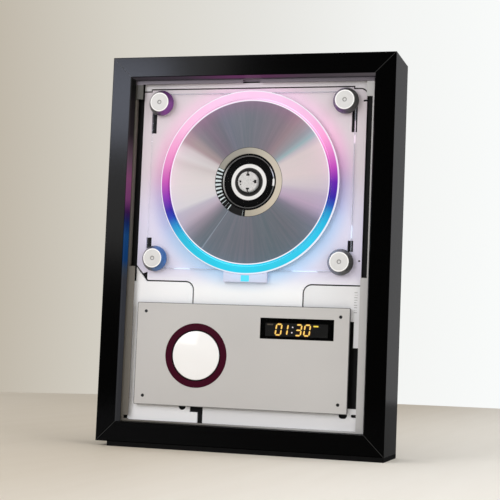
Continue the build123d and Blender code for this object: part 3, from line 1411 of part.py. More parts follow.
def write_parts():
    os.makedirs("parts", exist_ok=True)
    for name, shape in build_nodes().items():
        pieces = shape if isinstance(shape, list) else [shape]
        solids = [solid for piece in pieces for solid in piece.solids()]
        whole = Compound(children=solids) if len(solids) > 1 else solids[0]
        export_step(whole, f"parts/{name}.step")
    print("wrote the player's parts")


write_parts()
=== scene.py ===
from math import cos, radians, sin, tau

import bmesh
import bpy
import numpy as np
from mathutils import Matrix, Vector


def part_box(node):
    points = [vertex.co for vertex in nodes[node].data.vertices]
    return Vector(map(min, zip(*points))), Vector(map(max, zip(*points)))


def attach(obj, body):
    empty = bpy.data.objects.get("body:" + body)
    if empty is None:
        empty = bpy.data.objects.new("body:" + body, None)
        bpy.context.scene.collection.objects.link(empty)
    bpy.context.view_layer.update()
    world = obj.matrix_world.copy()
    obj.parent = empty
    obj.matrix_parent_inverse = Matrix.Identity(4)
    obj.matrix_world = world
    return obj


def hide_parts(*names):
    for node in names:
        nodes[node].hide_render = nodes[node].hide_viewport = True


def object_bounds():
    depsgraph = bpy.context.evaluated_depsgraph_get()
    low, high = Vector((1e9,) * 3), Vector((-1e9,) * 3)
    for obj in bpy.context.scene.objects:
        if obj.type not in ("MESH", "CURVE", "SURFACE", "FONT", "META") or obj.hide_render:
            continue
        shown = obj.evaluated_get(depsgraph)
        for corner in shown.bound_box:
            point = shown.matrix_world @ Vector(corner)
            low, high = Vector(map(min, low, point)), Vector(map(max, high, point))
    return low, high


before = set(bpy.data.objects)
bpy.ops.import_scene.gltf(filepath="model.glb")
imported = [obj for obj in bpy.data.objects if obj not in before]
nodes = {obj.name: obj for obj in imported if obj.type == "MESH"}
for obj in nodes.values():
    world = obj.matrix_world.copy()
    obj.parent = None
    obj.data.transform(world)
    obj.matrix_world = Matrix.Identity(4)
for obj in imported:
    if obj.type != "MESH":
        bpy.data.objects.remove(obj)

# %% [markdown]
# # A framed disc player
#
# The player is a shadow box: a black frame, white plates set back inside it, a silver disc
# inside a ring of coloured light, and an aluminium panel with a knob and a clock display.
# The fixed frame that was loaded above holds every working part at its real size. What is
# left to do here is the finish of each surface, and finer surfaces for the round pieces.
#
# X runs to the right, Y from the front to the wall and Z up. Lengths are in metres, so one
# millimetre gets a name of its own.

mm = 0.001
cad_low, cad_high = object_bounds()
print("player", [round(side / mm, 1) for side in cad_high - cad_low], "mm, pieces", len(nodes))

# %% [markdown]
# ## Places that everything else is measured from
#
# A node's box tells where it is. The disc, the knob and the nuts all turn about axes that run
# along Y, so a centre in X and Z and a front face in Y place them.

# %% Centres and radii read from the frame


def axis_of(node):
    """X and Z of the axis of a round node: the middle of its box."""
    low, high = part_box(node)
    return (low.x + high.x) / 2, (low.z + high.z) / 2


def radius_of(node):
    """Radius of a round node: half of its box in X."""
    low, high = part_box(node)
    return (high.x - low.x) / 2


def front_of(node):
    """Y of the face that looks to the front."""
    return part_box(node)[0].y


def back_of(node):
    """Y of the face that looks to the wall."""
    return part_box(node)[1].y


disc_axis, disc_radius = axis_of("disc"), radius_of("disc")
knob_axis, knob_radius = axis_of("control_knob"), radius_of("control_knob")
print("disc radius", round(disc_radius / mm, 2), "mm, knob radius", round(knob_radius / mm, 2), "mm")

# %% [markdown]
# ## Colours
#
# Colours are given as the eight-bit numbers that a screen shows. Cycles works with linear
# light, so one function converts them. A colour that changes round an axis is a list of angles,
# with the colour at each.

# %% Screen colours to linear light


def screen(red, green, blue):
    """Linear colour of a screen colour: c/12.92 near black, and else ((c + 0.055) / 1.055) to the 2.4."""
    share = np.array([red, green, blue], float) / 255
    linear = np.where(share <= 0.04045, share / 12.92, ((share + 0.055) / 1.055) ** 2.4)
    return tuple(float(channel) for channel in linear)


def grey(level):
    """A neutral colour of one screen level."""
    return screen(level, level, level)


def screen_at(degrees, stops):
    """Screen colour at an angle, on straight lines between stops of (degrees, red, green, blue)."""
    table = np.array(stops, float)
    return [float(np.interp(degrees, table[:, 0], channel)) for channel in table[:, 1:].T]


print("mid grey on a screen is", round(grey(128)[0], 3), "in linear light")

# %% [markdown]
# ## Shader maths as expressions
#
# A finish is a tree of nodes. Written out one by one, even a short formula fills a page, so a
# small class wraps a socket and overloads the operators: `1 - mask * 0.5` adds two Math nodes.
# Every other node comes from the method `node`, in a material as in the world behind the player.

# %% A socket that can be added, multiplied and compared


def operator(operation, swapped=False):
    """A method of Value that adds one Math node; swapped puts its own value last."""
    def method(self, *others):
        terms = (*others, self) if swapped else (self, *others)
        return self.math(operation, *terms)
    return method


class Value:
    """What leaves a node. Arithmetic on it adds Math nodes to the same tree."""

    def __init__(self, owner, socket):
        self.owner = owner
        self.socket = socket

    def math(self, operation, *terms):
        return self.owner.node("ShaderNodeMath", {"operation": operation}, terms)

    __add__ = __radd__ = operator("ADD")
    __sub__, __rsub__ = operator("SUBTRACT"), operator("SUBTRACT", swapped=True)
    __mul__ = __rmul__ = operator("MULTIPLY")
    __truediv__, __pow__ = operator("DIVIDE"), operator("POWER")
    __lt__, __gt__ = operator("LESS_THAN"), operator("GREATER_THAN")
    least, most = operator("MINIMUM"), operator("MAXIMUM")
    sine, fraction, size = operator("SINE"), operator("FRACT"), operator("ABSOLUTE")

    def step(self, low, high):
        """0 below low and 1 above high, with a smooth turn between them."""
        ends = {"Value": self, "From Min": low, "From Max": high}
        return self.owner.node("ShaderNodeMapRange", {"interpolation_type": "SMOOTHSTEP"}, ends)

    def band(self, low, high, soft):
        """1 between low and high, 0 outside, with soft edges."""
        return self.step(low - soft, low + soft) * (1 - self.step(high - soft, high + soft))


def methods_of(kind):
    """Names of what a class can do, without Python's own names."""
    return [name for name in vars(kind) if not name.startswith("_")]


print("a value can do:", methods_of(Value))

# %% A tree of nodes


class Tree:
    """The nodes of a material or of the world."""

    def __init__(self, tree):
        self.tree = tree

    def feed(self, socket, value):
        """Links a value to a socket, or writes a constant on the socket itself."""
        if isinstance(value, Value):
            self.tree.links.new(value.socket, socket)
        elif socket.type == "RGBA" and len(value) == 3:
            socket.default_value = (*value, 1)
        else:
            socket.default_value = value

    def node(self, kind, settings, inputs, output=0):
        """One node: its settings, then its sockets, by name or in order, then which output leaves it."""
        made = self.tree.nodes.new(kind)
        for key, value in settings.items():
            if key == "stops":
                points = made.color_ramp.elements
                for _ in value[2:]:
                    points.new(0.5)
                for point, (place, colour) in zip(points, value):
                    point.position = place
                    point.color = (*colour, 1)
            else:
                setattr(made, key, value)
        pairs = inputs.items() if isinstance(inputs, dict) else enumerate(inputs)
        for key, value in pairs:
            self.feed(made.inputs[key], value)
        return Value(self, made.outputs[output])

    def split(self, vector):
        """The three numbers of a vector."""
        made = self.node("ShaderNodeSeparateXYZ", {}, (vector,))
        return [Value(self, socket) for socket in made.socket.node.outputs]

    def mix(self, factor, first, second):
        """A colour between two others."""
        return self.node("ShaderNodeMix", {"data_type": "RGBA"}, {0: factor, 6: first, 7: second}, 2)

    def ramp(self, value, stops):
        """A colour read from stops of (position, colour)."""
        return self.node("ShaderNodeValToRGB", {"stops": stops}, (value,))

    def round_ramp(self, turn, stops):
        """A colour read from stops of (degrees, red, green, blue): one ramp for each half turn."""
        halves = []
        for first, last in ((0, 180), (180, 360)):
            inside = [stop for stop in stops if first < stop[0] < last]
            near = [(first, *screen_at(first, stops)), *inside, (last, *screen_at(last, stops))]
            shares = [((degrees - first) / 180, screen(*colour)) for degrees, *colour in near]
            halves.append(self.ramp(turn * 2 - first / 180, shares))
        return self.mix(turn > 0.5, *halves)


print("a tree can do:", methods_of(Tree))

# %% A finish: one material and what its patterns are made from


class Finish(Tree):
    """A material. surface() sets the Principled shader, and the other methods make what feeds it."""

    def __init__(self, name, **sockets):
        self.material = bpy.data.materials.new(name)
        self.material.use_nodes = True
        super().__init__(self.material.node_tree)
        self.shader = self.tree.nodes["Principled BSDF"]
        self.surface(**sockets)

    def surface(self, **sockets):
        """Sets Principled sockets; base_color stands for Base Color."""
        for key, value in sockets.items():
            words = [word.capitalize() for word in key.split("_")]
            self.feed(self.shader.inputs[" ".join(words).replace("Ior", "IOR")], value)

    def here(self, centre=(0, 0, 0), stretch=(1, 1, 1)):
        """Object coordinates counted from a centre, stretched along the axes."""
        place = self.node("ShaderNodeTexCoord", {}, {}, "Object")
        moved = self.node("ShaderNodeVectorMath", {"operation": "SUBTRACT"}, (place, centre))
        return self.node("ShaderNodeVectorMath", {"operation": "MULTIPLY"}, (moved, stretch))

    def polar(self, axis):
        """Distance from an axis along Y, and the angle in turns, 0 at the right and growing upwards."""
        x, _, z = self.split(self.here((axis[0], 0, axis[1])))
        turn = z.math("ARCTAN2", z, x) / tau
        return (x * x + z * z) ** 0.5, (turn + 1).fraction()

    def noise(self, vector, size, detail=2.0, rough=0.5):
        """Cloudy noise from 0 to 1; size is the width of one cloud in metres."""
        inputs = {"Vector": vector, "Scale": 1 / size, "Detail": detail, "Roughness": rough}
        return self.node("ShaderNodeTexNoise", {}, inputs)

    def speckle(self, vector, size):
        """One random number for each cell of a grid."""
        cell = self.node("ShaderNodeVectorMath", {"operation": "SNAP"}, (vector, (size, size, size)))
        return self.node("ShaderNodeTexWhiteNoise", {}, {"Vector": cell})

    def bump(self, height, depth):
        """The normal of a surface that this height, from 0 to 1, raises by depth metres."""
        return self.node("ShaderNodeBump", {}, {"Height": height, "Distance": depth})

    def wear(self, *names):
        """Puts this finish on CAD nodes."""
        for name in names:
            slots = nodes[name].data.materials
            slots.clear()
            slots.append(self.material)
        print(f"{self.material.name}: {', '.join(names)}")


print("a finish can do as well:", methods_of(Finish))

# %% [markdown]
# ## Round surfaces
#
# The disc, the light ring, the nuts and the knob are turned: a profile goes round an axis. Nothing
# real ends in a knife edge, so each corner of a profile becomes a small curve, which catches a
# thin line of light.

# %% A profile with rounded corners


def rounded(corners, radius, steps=4):
    """Each inner corner becomes the curve (1-t)^2 a + 2t(1-t) corner + t^2 b, where a and b lie
    radius away from the corner along its two sides, or nearly half a side away where that is short."""
    corners = np.array(corners, float)
    t = np.linspace(0, 1, steps + 1)[:, None]
    line = [corners[:1]]
    for before, corner, after in zip(corners, corners[1:], corners[2:]):
        sides = before - corner, after - corner
        lengths = [np.linalg.norm(side) for side in sides]
        a, b = (corner + side * min(radius / length, 0.45) for side, length in zip(sides, lengths))
        line.append((1 - t) ** 2 * a + 2 * t * (1 - t) * corner + t ** 2 * b)
    line.append(corners[-1:])
    return np.concatenate(line)


def closed(profile):
    """Adds the first point of a profile once more at its end."""
    return np.concatenate([profile, profile[:1]])


print("a rounded corner has", len(rounded([(0, 0), (1, 0), (1, 1)], 0.2)), "points")

# %% Points and faces become a piece
same_place = 1e-7


def new_piece(name, points, faces, sharp=35):
    """A piece from points and faces. Doubled points are merged and the faces turned outwards, and
    the shading is smooth where the faces meet at less than the sharp angle, in degrees."""
    mesh = bpy.data.meshes.new(name)
    mesh.from_pydata(points, [], faces)
    work = bmesh.new()
    work.from_mesh(mesh)
    bmesh.ops.remove_doubles(work, verts=work.verts, dist=same_place)
    bmesh.ops.recalc_face_normals(work, faces=work.faces)
    work.to_mesh(mesh)
    work.free()
    mesh.shade_smooth()
    mesh.set_sharp_from_angle(angle=radians(sharp))
    piece = bpy.data.objects.new(name, mesh)
    bpy.context.scene.collection.objects.link(piece)
    return piece


def piece_from_grid(name, grid):
    """Joins a grid of points, rows by columns, with four-sided faces. The last row joins the first,
    and points that meet, as at a pole, are merged."""
    rows, columns = grid.shape[:2]
    index = np.arange(rows * columns).reshape(rows, columns)
    index = np.concatenate([index, index[:1]])
    quads = np.stack([index[:-1, :-1], index[1:, :-1], index[1:, 1:], index[:-1, 1:]], axis=-1)
    return new_piece(name, grid.reshape(-1, 3), quads.reshape(-1, 4))


print("points within", same_place, "m become one")

# %% The lathe


def round_grid(axis, profile, sides):
    """Carries a profile of (radius, y) points round an axis along Y: x = axis x + radius cos(a) and
    z = axis z + radius sin(a). A radius can be one number, or one for each side."""
    angle = np.linspace(0, tau, sides, endpoint=False)
    loops = [(axis[0] + radius * np.cos(angle), np.full(sides, y), axis[1] + radius * np.sin(angle))
             for radius, y in profile]
    return np.array(loops).transpose(2, 0, 1)


def turned(name, axis, profile, sides=192):
    """A turned piece. Its profile is closed by its last point lying on its first, or by both ends
    lying on the axis."""
    return piece_from_grid(name, round_grid(axis, profile, sides))


def dress(piece, finish, body, node=None):
    """Gives a piece its finish and its body, and hides the node that it stands for."""
    piece.data.materials.append(finish.material)
    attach(piece, body)
    if node:
        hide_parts(node)
    print(piece.name, "has", len(piece.data.polygons), "faces")


print("a profile of 5 points and 8 sides makes a grid of", round_grid((0, 0), [(1, 0)] * 5, 8).shape)

# %% [markdown]
# ## Plain finishes
#
# Even a plain coat of paint isn't one flat colour. A fine noise makes the roughness uneven and
# lifts a very low bump, and a broad noise makes one part of a face a little darker. One function
# does both, because most of the working parts need nothing more.

# %% A finish with a fine grain


def grained(name, colour, rough, wearers, size=0.5, depth=0.002, stretch=(1, 1, 1), uneven=0.08, **sockets):
    """size is the width of a grain in mm and depth its height; stretch below 1 draws it out."""
    finish = Finish(name, **sockets)
    place = finish.here(stretch=stretch)
    fine, broad = finish.noise(place, size * mm, 4), finish.noise(place, 60 * mm)
    darker = tuple((1 - uneven) * channel for channel in colour)
    finish.surface(base_color=finish.mix(broad, darker, colour), roughness=rough + (fine - 0.5) * 0.1,
                   normal=finish.bump(fine, depth * mm))
    finish.wear(*wearers)


grained("black powder coat", grey(13), 0.6, ["chassis_tray"], size=0.3, depth=0.01, specular_ior_level=0.3)
grained("black foot strip", grey(10), 0.8, ["base_strip"], size=0.4, depth=0.02, specular_ior_level=0.2)
# The top strip is the plates' white paint, painted greyer and pinker: painted shade and ring light
grained("strip paint with painted shade", screen(222, 219, 222), 0.4, ["top_strip"], size=0.3, uneven=0.03)
grained("plate paint", screen(251, 252, 255), 0.4, ["left_plate"], size=0.3, uneven=0.03)

# %% The pieces behind the plates and at the back
steel_parts = ["corner_brackets", "frame_screws", "chassis_screws", "base_studs", "keyhole_plates",
               "spindle_motor", "sled_motor", "motor_bracket", "board_posts", "guide_rods",
               "spindle_shaft", "encoder_shaft", "power_inlet"]
moulded_parts = ["laser_sled", "panel_housing", "encoder", "encoder_plunger", "headphone_jack",
                 "power_switch", "switch_slider"]
grained("plain steel", grey(190), 0.3, steel_parts, stretch=(1, 0.05, 1), metallic=1.0)
grained("dark steel screws", grey(70), 0.35, ["panel_screws"], metallic=1.0)
grained("zinc plated sheet", grey(150), 0.4, ["traverse_plate"], size=3, uneven=0.3, metallic=0.9)
grained("soft black rubber", grey(40), 0.8, ["rubber_dampers"], specular_ior_level=0.3)
grained("white moulding", screen(225, 222, 214), 0.45, ["idler_gear"])
grained("brass", screen(214, 178, 106), 0.3, ["motor_pinion"], metallic=1.0)
grained("black moulding", grey(38), 0.5, moulded_parts, depth=0.006)
grained("grained back panel", grey(50), 0.55, ["back_panel"], size=0.7, depth=0.03)
grained("ribbon cable", grey(215), 0.5, ["board_ribbon"], size=1.0, stretch=(1, 0.02, 0.02))
grained("battery wrap", screen(52, 88, 140), 0.35, ["battery_pack"], size=8, depth=0.05)
# The feed block is white plastic; its lilac tint is painted light from the ring beside it
grained("feed block with painted ring light", screen(214, 214, 236), 0.35, ["ring_feed_block"])
grained("dark display block", grey(12), 0.4, ["display_module"])
grained("lens holder", grey(44), 0.3, ["lens_holder"], coat_weight=0.5)

# %% Boards: green over copper tracks
board = Finish("circuit board", roughness=0.3)
place = board.here()
across, _, up = board.split(place)
wander = board.noise(board.speckle(place, 3 * mm) * 9, 1.0) * 3
tracks = ((across / (1.3 * mm) + wander).sine() * (up / (1.7 * mm)).sine()) > 0.35
board.surface(base_color=board.mix(tracks, screen(18, 84, 52), screen(38, 118, 74)),
              normal=board.bump(tracks, 0.02 * mm))
board.wear("control_board", "main_board", "ring_board")

# %% [markdown]
# ## White plates in coloured light
#
# The deck plate is white, but the ring throws pink, violet and blue light on it. Lamps alone make
# that glow too weak and too even, so it is part of the paint: a halo that fades away from the ring
# takes its hue from the angle round the disc, as the ring itself does. The paint also carries
# painted shade and ring light: greyer and pinker above the neck, bluer below the disc's axis and
# whiter on the neck. In the gap round the disc the deck glows in the ring's colours, a painted glow.

# %% Colours round the ring, as (degrees, red, green, blue)
around = [(0, 97, 6, 169), (10, 190, 70, 184), (20, 227, 125, 198), (30, 250, 160, 214),
          (45, 245, 186, 224), (75, 250, 203, 238), (110, 253, 203, 237), (140, 251, 190, 226),
          (150, 244, 172, 214), (160, 240, 150, 203), (170, 224, 124, 190), (180, 196, 79, 178),
          (190, 141, 46, 176), (200, 39, 17, 160), (205, 22, 60, 176), (211, 26, 140, 202),
          (219, 30, 182, 216), (235, 20, 196, 224), (262, 30, 208, 238), (290, 36, 202, 230),
          (318, 40, 200, 236), (332, 26, 184, 224), (340, 18, 150, 204), (345, 22, 80, 180),
          (350, 39, 17, 162), (360, 97, 6, 169)]
ring_front, ring_back = front_of("light_ring"), back_of("light_ring")
ring_outer, ring_inner = radius_of("light_ring"), disc_radius + 0.7 * mm
ring_middle, ring_half = (ring_inner + ring_outer) / 2, (ring_outer - ring_inner) / 2
print("colours round the ring:", len(around))

# %% The deck: painted ring light beside the ring and in the gap round it, painted shade above the neck
halo_width, neck_top, deck_shade_from = 15 * mm, 112 * mm, 130 * mm
deck = Finish("deck paint", roughness=0.4, specular_ior_level=0.3, emission_strength=1.0)
distance, turn = deck.polar(disc_axis)
_, _, z = deck.split(deck.here())
hue = deck.round_ramp(turn, around)
# Painted blue light from the ring's lower half, below the disc's axis
painted_blue_light_below = 1 - z.step(disc_axis[1] - 30 * mm, disc_axis[1] + 12 * mm)
halo = (1 - distance.step(ring_outer, ring_outer + halo_width)) * 0.45
# Painted shade and ring light: greyer and pinker above the neck, whiter on it
paint = deck.mix(painted_blue_light_below, screen(218, 210, 216), screen(226, 222, 242))
paint = deck.mix(1 - z.step(neck_top, deck_shade_from), paint, screen(250, 250, 252))
# The gap between the disc and the ring glows in the ring's colours: painted light
gap_painted_glow = distance.band(disc_radius - 0.3 * mm, ring_inner + 0.3 * mm, 0.1 * mm)
deck.surface(base_color=deck.mix(halo, paint, deck.mix(painted_blue_light_below * 0.5, hue, screen(150, 196, 255))),
             emission_color=deck.mix(gap_painted_glow, grey(0), hue),
             normal=deck.bump(deck.noise(deck.here(), 0.3 * mm, 4), 0.002 * mm))
deck.wear("deck_plate")

# %% The right plate has a small printed scale
tick_pitch, tick_share = 1.74 * mm, 0.3
scale_foot, scale_top, scale_left, scale_right = 100.6 * mm, 116.4 * mm, 78.9 * mm, 81.2 * mm
plate = Finish("plate paint with a scale", roughness=0.4)
x, _, z = plate.split(plate.here())
ticks = ((z / tick_pitch).fraction() < tick_share) * z.band(scale_foot, scale_top, 0.1 * mm)
worn = plate.noise(plate.here(), 2 * mm).step(0.25, 0.55)
printed = ticks * x.band(scale_left, scale_right, 0.2 * mm) * worn * 0.55
paint = plate.mix(plate.noise(plate.here(), 60 * mm), screen(234, 235, 238), screen(238, 238, 240))
plate.surface(base_color=plate.mix(printed, paint, grey(70)),
              normal=plate.bump(plate.noise(plate.here(), 0.3 * mm, 4), 0.002 * mm))
plate.wear("right_plate")

# %% [markdown]
# ## The black frame and its liner
#
# The four rails are lacquered black and cut at 45 degrees where they meet. A mitre is the line on
# which the distance to the side equals the distance to the end, so one comparison draws all four.
# Each seam is grooved, and painted pale grey as a painted highlight along it.
# The real lacquer mirrors the ring on its inner faces. Here they glow faintly in its colours, read
# from the height on the left rail and from the width on the top rail.

# %% Where the rails' faces and mitres lie
lacquer = Finish("satin black lacquer", specular_ior_level=0.12, emission_strength=1.0)
rail_low, rail_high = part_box("frame_rail_left")
rail_wide = rail_high.x - rail_low.x
sill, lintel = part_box("frame_rail_bottom")[1].z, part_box("frame_rail_top")[0].z
x, _, z = lacquer.split(lacquer.here())
beside = -rail_low.x - x.size()
beyond = (z - rail_low.z).least(rail_high.z - z)
mitre_seam_and_highlight = ((beside - beyond).size() < 0.3 * mm) * (beside < rail_wide + 0.5 * mm)
inner = beside.band(rail_wide - 0.3 * mm, rail_wide + 1 * mm, 0.1 * mm)
opening = z.band(sill + 0.1 * mm, lintel + 0.3 * mm, 0.1 * mm)
ceiling = z.band(lintel - 0.3 * mm, lintel + 0.1 * mm, 0.05 * mm) * (beside > rail_wide)
print("rails", round(rail_wide / mm, 1), "mm wide, opening", round((lintel - sill) / mm, 1), "mm high")

# %% What the inner faces mirror, in mm from the table and from the middle
left_by_height = [(20, 46, 46, 48), (120, 50, 52, 58), (128, 44, 56, 72), (134, 14, 52, 98),
                  (152, 18, 60, 108), (162, 16, 32, 80), (169, 46, 18, 64), (179, 104, 52, 96),
                  (194, 114, 62, 98), (208, 84, 62, 76), (226, 34, 28, 32), (262, 14, 14, 13)]
top_by_width = [(-98, 46, 44, 46), (-50, 56, 46, 56), (-14, 92, 46, 84), (10, 84, 44, 76),
                (45, 66, 58, 64), (98, 76, 72, 74)]


def stops_along(table, start, length):
    """Ramp stops of a table of (mm, red, green, blue) along a stretch of that start and length in mm."""
    return [((place - start) / length, screen(*colour)) for place, *colour in table]


left_glow = lacquer.ramp(z / (300 * mm), stops_along(left_by_height, 0, 300))
top_glow = lacquer.ramp(x / (200 * mm) + 0.5, stops_along(top_by_width, -100, 200))
left_glow = lacquer.mix(inner * (x < 0) * opening, grey(0), left_glow)
grain = lacquer.noise(lacquer.here(), 0.8 * mm, 4)
# The mitres are painted pale grey, a painted highlight along the real seams, which the bump grooves
lacquer.surface(emission_color=lacquer.mix(ceiling, left_glow, top_glow),
                base_color=lacquer.mix(mitre_seam_and_highlight, grey(4), grey(46)), roughness=0.1 + grain * 0.04,
                normal=lacquer.bump(grain * 0.5 - mitre_seam_and_highlight, 0.004 * mm))
lacquer.wear(*[f"frame_rail_{side}" for side in ("top", "bottom", "left", "right")])

# %% The liner, painted in light and shade: paler at the right, darkest high up on its left side
liner_shade_from, liner_top, liner_half = 252.5 * mm, 263.5 * mm, 80 * mm
anodised = Finish("satin anodised liner", metallic=0.25)
x, _, z = anodised.split(anodised.here())
# Painted shade: the left side is darker, and darkest near its top
left_painted_shade = anodised.mix(z > liner_shade_from, screen(116, 111, 102), screen(86, 84, 78))
sides = anodised.mix(x.step(-liner_half, liner_half), left_painted_shade, screen(208, 207, 206))
brushed = anodised.noise(anodised.here(stretch=(1, 1, 0.1)), 0.5 * mm, 4)
# Painted light: the right side is paler, and the top wall lighter and violet from the ring
anodised.surface(base_color=anodised.mix(z > liner_top, sides, screen(124, 118, 126)),
                 roughness=0.38 + brushed * 0.1, normal=anodised.bump(brushed, 0.003 * mm))
anodised.wear("liner")

# %% [markdown]
# ## The control panel
#
# The panel is aluminium blasted with fine beads: no brush lines, only a dense grain. Its edge turns
# away from the light, so a thin line along the outline is painted darker.

# %% The panel
edge_line = 0.4 * mm
panel = Finish("bead-blasted aluminium", metallic=0.1)
low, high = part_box("control_panel")
panel_middle = (low + high) / 2
x, _, z = panel.split(panel.here((panel_middle.x, 0, panel_middle.z)))
inwards = (high.x - panel_middle.x - x.size()).least(high.z - panel_middle.z - z.size())
blasted, broad = panel.noise(panel.here(), 0.25 * mm, 4), panel.noise(panel.here(), 60 * mm)
matt = panel.mix(broad, screen(197, 195, 193), screen(206, 204, 202))
panel.surface(base_color=panel.mix(inwards < edge_line, matt, grey(96)), roughness=0.45 + blasted * 0.1,
              normal=panel.bump(blasted, 0.004 * mm))
panel.wear("control_panel")

# %% [markdown]
# ## The light ring
#
# The ring is one milky channel over a board of lamps. Its colour runs from pink at the top through
# violet to cyan at the bottom, and goes nearly white near the outer edge. A surface that glows by
# itself shows that better than lamps behind a milky shell.

# %% The ring's glow
glow = Finish("ring of coloured light", base_color=grey(30), roughness=0.35, emission_strength=1.0,
              specular_ior_level=0.2)
distance, turn = glow.polar(disc_axis)
outer_edge = ((distance - ring_middle) / ring_half).step(0.66, 0.8)
hue = glow.round_ramp(turn, around)
glow.surface(emission_color=glow.mix(outer_edge * 0.9, hue, screen(250, 246, 255)))
print("the ring is", round(2 * ring_half / mm, 1), "mm wide")

# %% The ring's channel
channel_wall = 0.9 * mm
channel_floor = ring_front + 1.5 * mm
channel = rounded([(ring_inner + channel_wall, channel_floor), (ring_inner + channel_wall, ring_back),
                   (ring_inner, ring_back), (ring_inner, ring_front), (ring_outer, ring_front),
                   (ring_outer, ring_back), (ring_outer - channel_wall, ring_back),
                   (ring_outer - channel_wall, channel_floor)], 0.55 * mm)
dress(turned("ring_diffuser_surface", disc_axis, closed(channel), sides=256), glow, "root",
      "light_ring")
teal = Finish("teal lamp window", base_color=screen(60, 150, 170), roughness=0.25,
              emission_color=screen(70, 190, 214), emission_strength=0.9)
teal.wear("ring_feed_window")

# %% [markdown]
# ## The disc
#
# Under the clear plastic lie the tracks: grooves round the axis, too fine to be seen, that smear
# every lamp into a wedge. A sine of the distance from the axis, fed to a bump, tilts the surface
# in the same way. The broad wedges that the room makes on the disc are painted reflections, colours
# read from the angle, and so are the rainbow streaks, a pale highlight line and the ring's magenta
# light on the upper rim.

# %% Wedges of light round the disc, as (degrees, red, green, blue)
wedges = [(0, 218, 208, 214), (8, 226, 212, 215), (28, 221, 210, 212), (32, 200, 193, 202),
          (36, 156, 184, 190), (40, 150, 159, 169), (44, 155, 150, 158), (52, 152, 133, 141),
          (60, 133, 121, 132), (72, 122, 119, 130), (84, 112, 116, 127), (100, 110, 117, 128),
          (114, 110, 115, 130), (120, 111, 110, 123), (130, 120, 109, 125), (138, 130, 125, 135),
          (145, 164, 150, 152), (149, 170, 150, 155), (153, 208, 200, 204), (160, 217, 213, 215),
          (165, 209, 200, 202), (172, 221, 214, 215), (182, 226, 220, 221), (201, 222, 219, 224),
          (205, 196, 190, 206), (213, 190, 176, 193), (220, 152, 143, 158), (227, 114, 117, 128),
          (234, 104, 113, 124), (262, 110, 113, 124), (272, 107, 110, 121), (290, 98, 109, 118),
          (314, 106, 110, 120), (324, 112, 117, 129), (332, 132, 127, 146), (337, 172, 156, 180),
          (341, 192, 170, 196), (350, 198, 183, 203), (356, 214, 204, 213), (360, 218, 208, 214)]
hub_ring, first_track, last_track, hole = 20.4 * mm, 25.0 * mm, 58.5 * mm, 7.5 * mm
mirror = Finish("disc", metallic=0.05, roughness=0.34, specular_ior_level=0.1, emission_strength=1.0)
distance, turn = mirror.polar(disc_axis)
streaks = mirror.noise(mirror.node("ShaderNodeCombineXYZ", {}, (turn * 40, distance * 6, 0)), 0.35, 5, 0.7)
# A painted highlight line, and the ring's painted magenta light on the upper rim
painted_highlight_line = turn.band(235.2 / 360, 236.2 / 360, 0.001)
top_rim_painted_ring_light = distance.step(46 * mm, 60 * mm) * turn.band(50 / 360, 152 / 360, 0.03)
wedge = mirror.round_ramp(turn, wedges)
# Painted rainbow reflections: pink and teal streaks over the wedges
wedge = mirror.mix(streaks.step(0.35, 0.75) * 0.1, wedge, screen(196, 176, 190))
wedge = mirror.mix(streaks.step(0.65, 0.25) * 0.07, wedge, screen(96, 130, 128))
wedge = mirror.mix(painted_highlight_line * 0.3, wedge, screen(190, 196, 214))
wedge = mirror.mix(0.08, mirror.mix(top_rim_painted_ring_light * 0.3, wedge, screen(150, 98, 134)), grey(50))
print("wedges:", len(wedges))

# %% The coded band between the hub and the tracks
# The band's beige is lightest at the right and darker round the top and left: painted reflection; its
# stripes are print
painted_beige_reflection = [(0, 206, 196, 182), (60, 190, 184, 170), (100, 158, 155, 146), (150, 152, 150, 142),
         (270, 170, 164, 150), (320, 198, 188, 170), (360, 206, 196, 182)]
wobble = mirror.noise(mirror.node("ShaderNodeCombineXYZ", {}, (turn * 30, 0, 0)), 1.0)
stripes = (turn * (52 * tau)).sine() + (wobble - 0.5) * 2.6 + turn.step(0.5, 0.68) * 1.1
striped = mirror.mix(stripes > 0.05, screen(206, 218, 222), grey(24))
coded = mirror.mix(turn.band(155 / 360, 266 / 360, 0.001), mirror.round_ramp(turn, painted_beige_reflection), striped)
coded = mirror.mix(distance.band(24.7 * mm, 25.1 * mm, 0.1 * mm), coded, grey(50))
print("the coded band ends at", round(first_track / mm, 1), "mm")

# %% The clear middle with painted highlights on its stacking ring, and the clear rim with painted ring light
painted_stacking_ring_highlights = [(0, 236, 236, 236), (9, 236, 236, 236), (10, 10, 10, 10), (12, 200, 206, 226),
                (30, 190, 190, 196), (36, 96, 96, 96), (140, 96, 96, 96), (165, 190, 190, 190),
                (196, 150, 150, 150), (230, 86, 86, 86), (350, 96, 96, 96), (353, 236, 236, 236),
                (360, 236, 236, 236)]
edge_soft, rim_highlight_span = 0.15 * mm, (59.1 * mm, 59.4 * mm)
outside, tracked, rim = (distance.step(edge - edge_soft, edge + edge_soft)
                         for edge in (hub_ring, first_track, last_track))
inside = 1 - outside
# A wider painted highlight at the right, where the stacking ring catches the light
wide_painted_highlight = distance.band(17.9 * mm, 19.3 * mm, 0.1 * mm) * (turn > 351 / 360).most(turn < 6 / 360)
stacking_ring = distance.band(18.4 * mm, 19.0 * mm, 0.1 * mm).most(wide_painted_highlight)
# The clear rim glows in the ring's colours, white at its edge: painted ring light and highlight
rim_painted_ring_light = mirror.mix(distance.step(*rim_highlight_span), screen(250, 244, 255), mirror.round_ramp(turn, around))
print("the clear rim starts at", round(last_track / mm, 1), "mm")

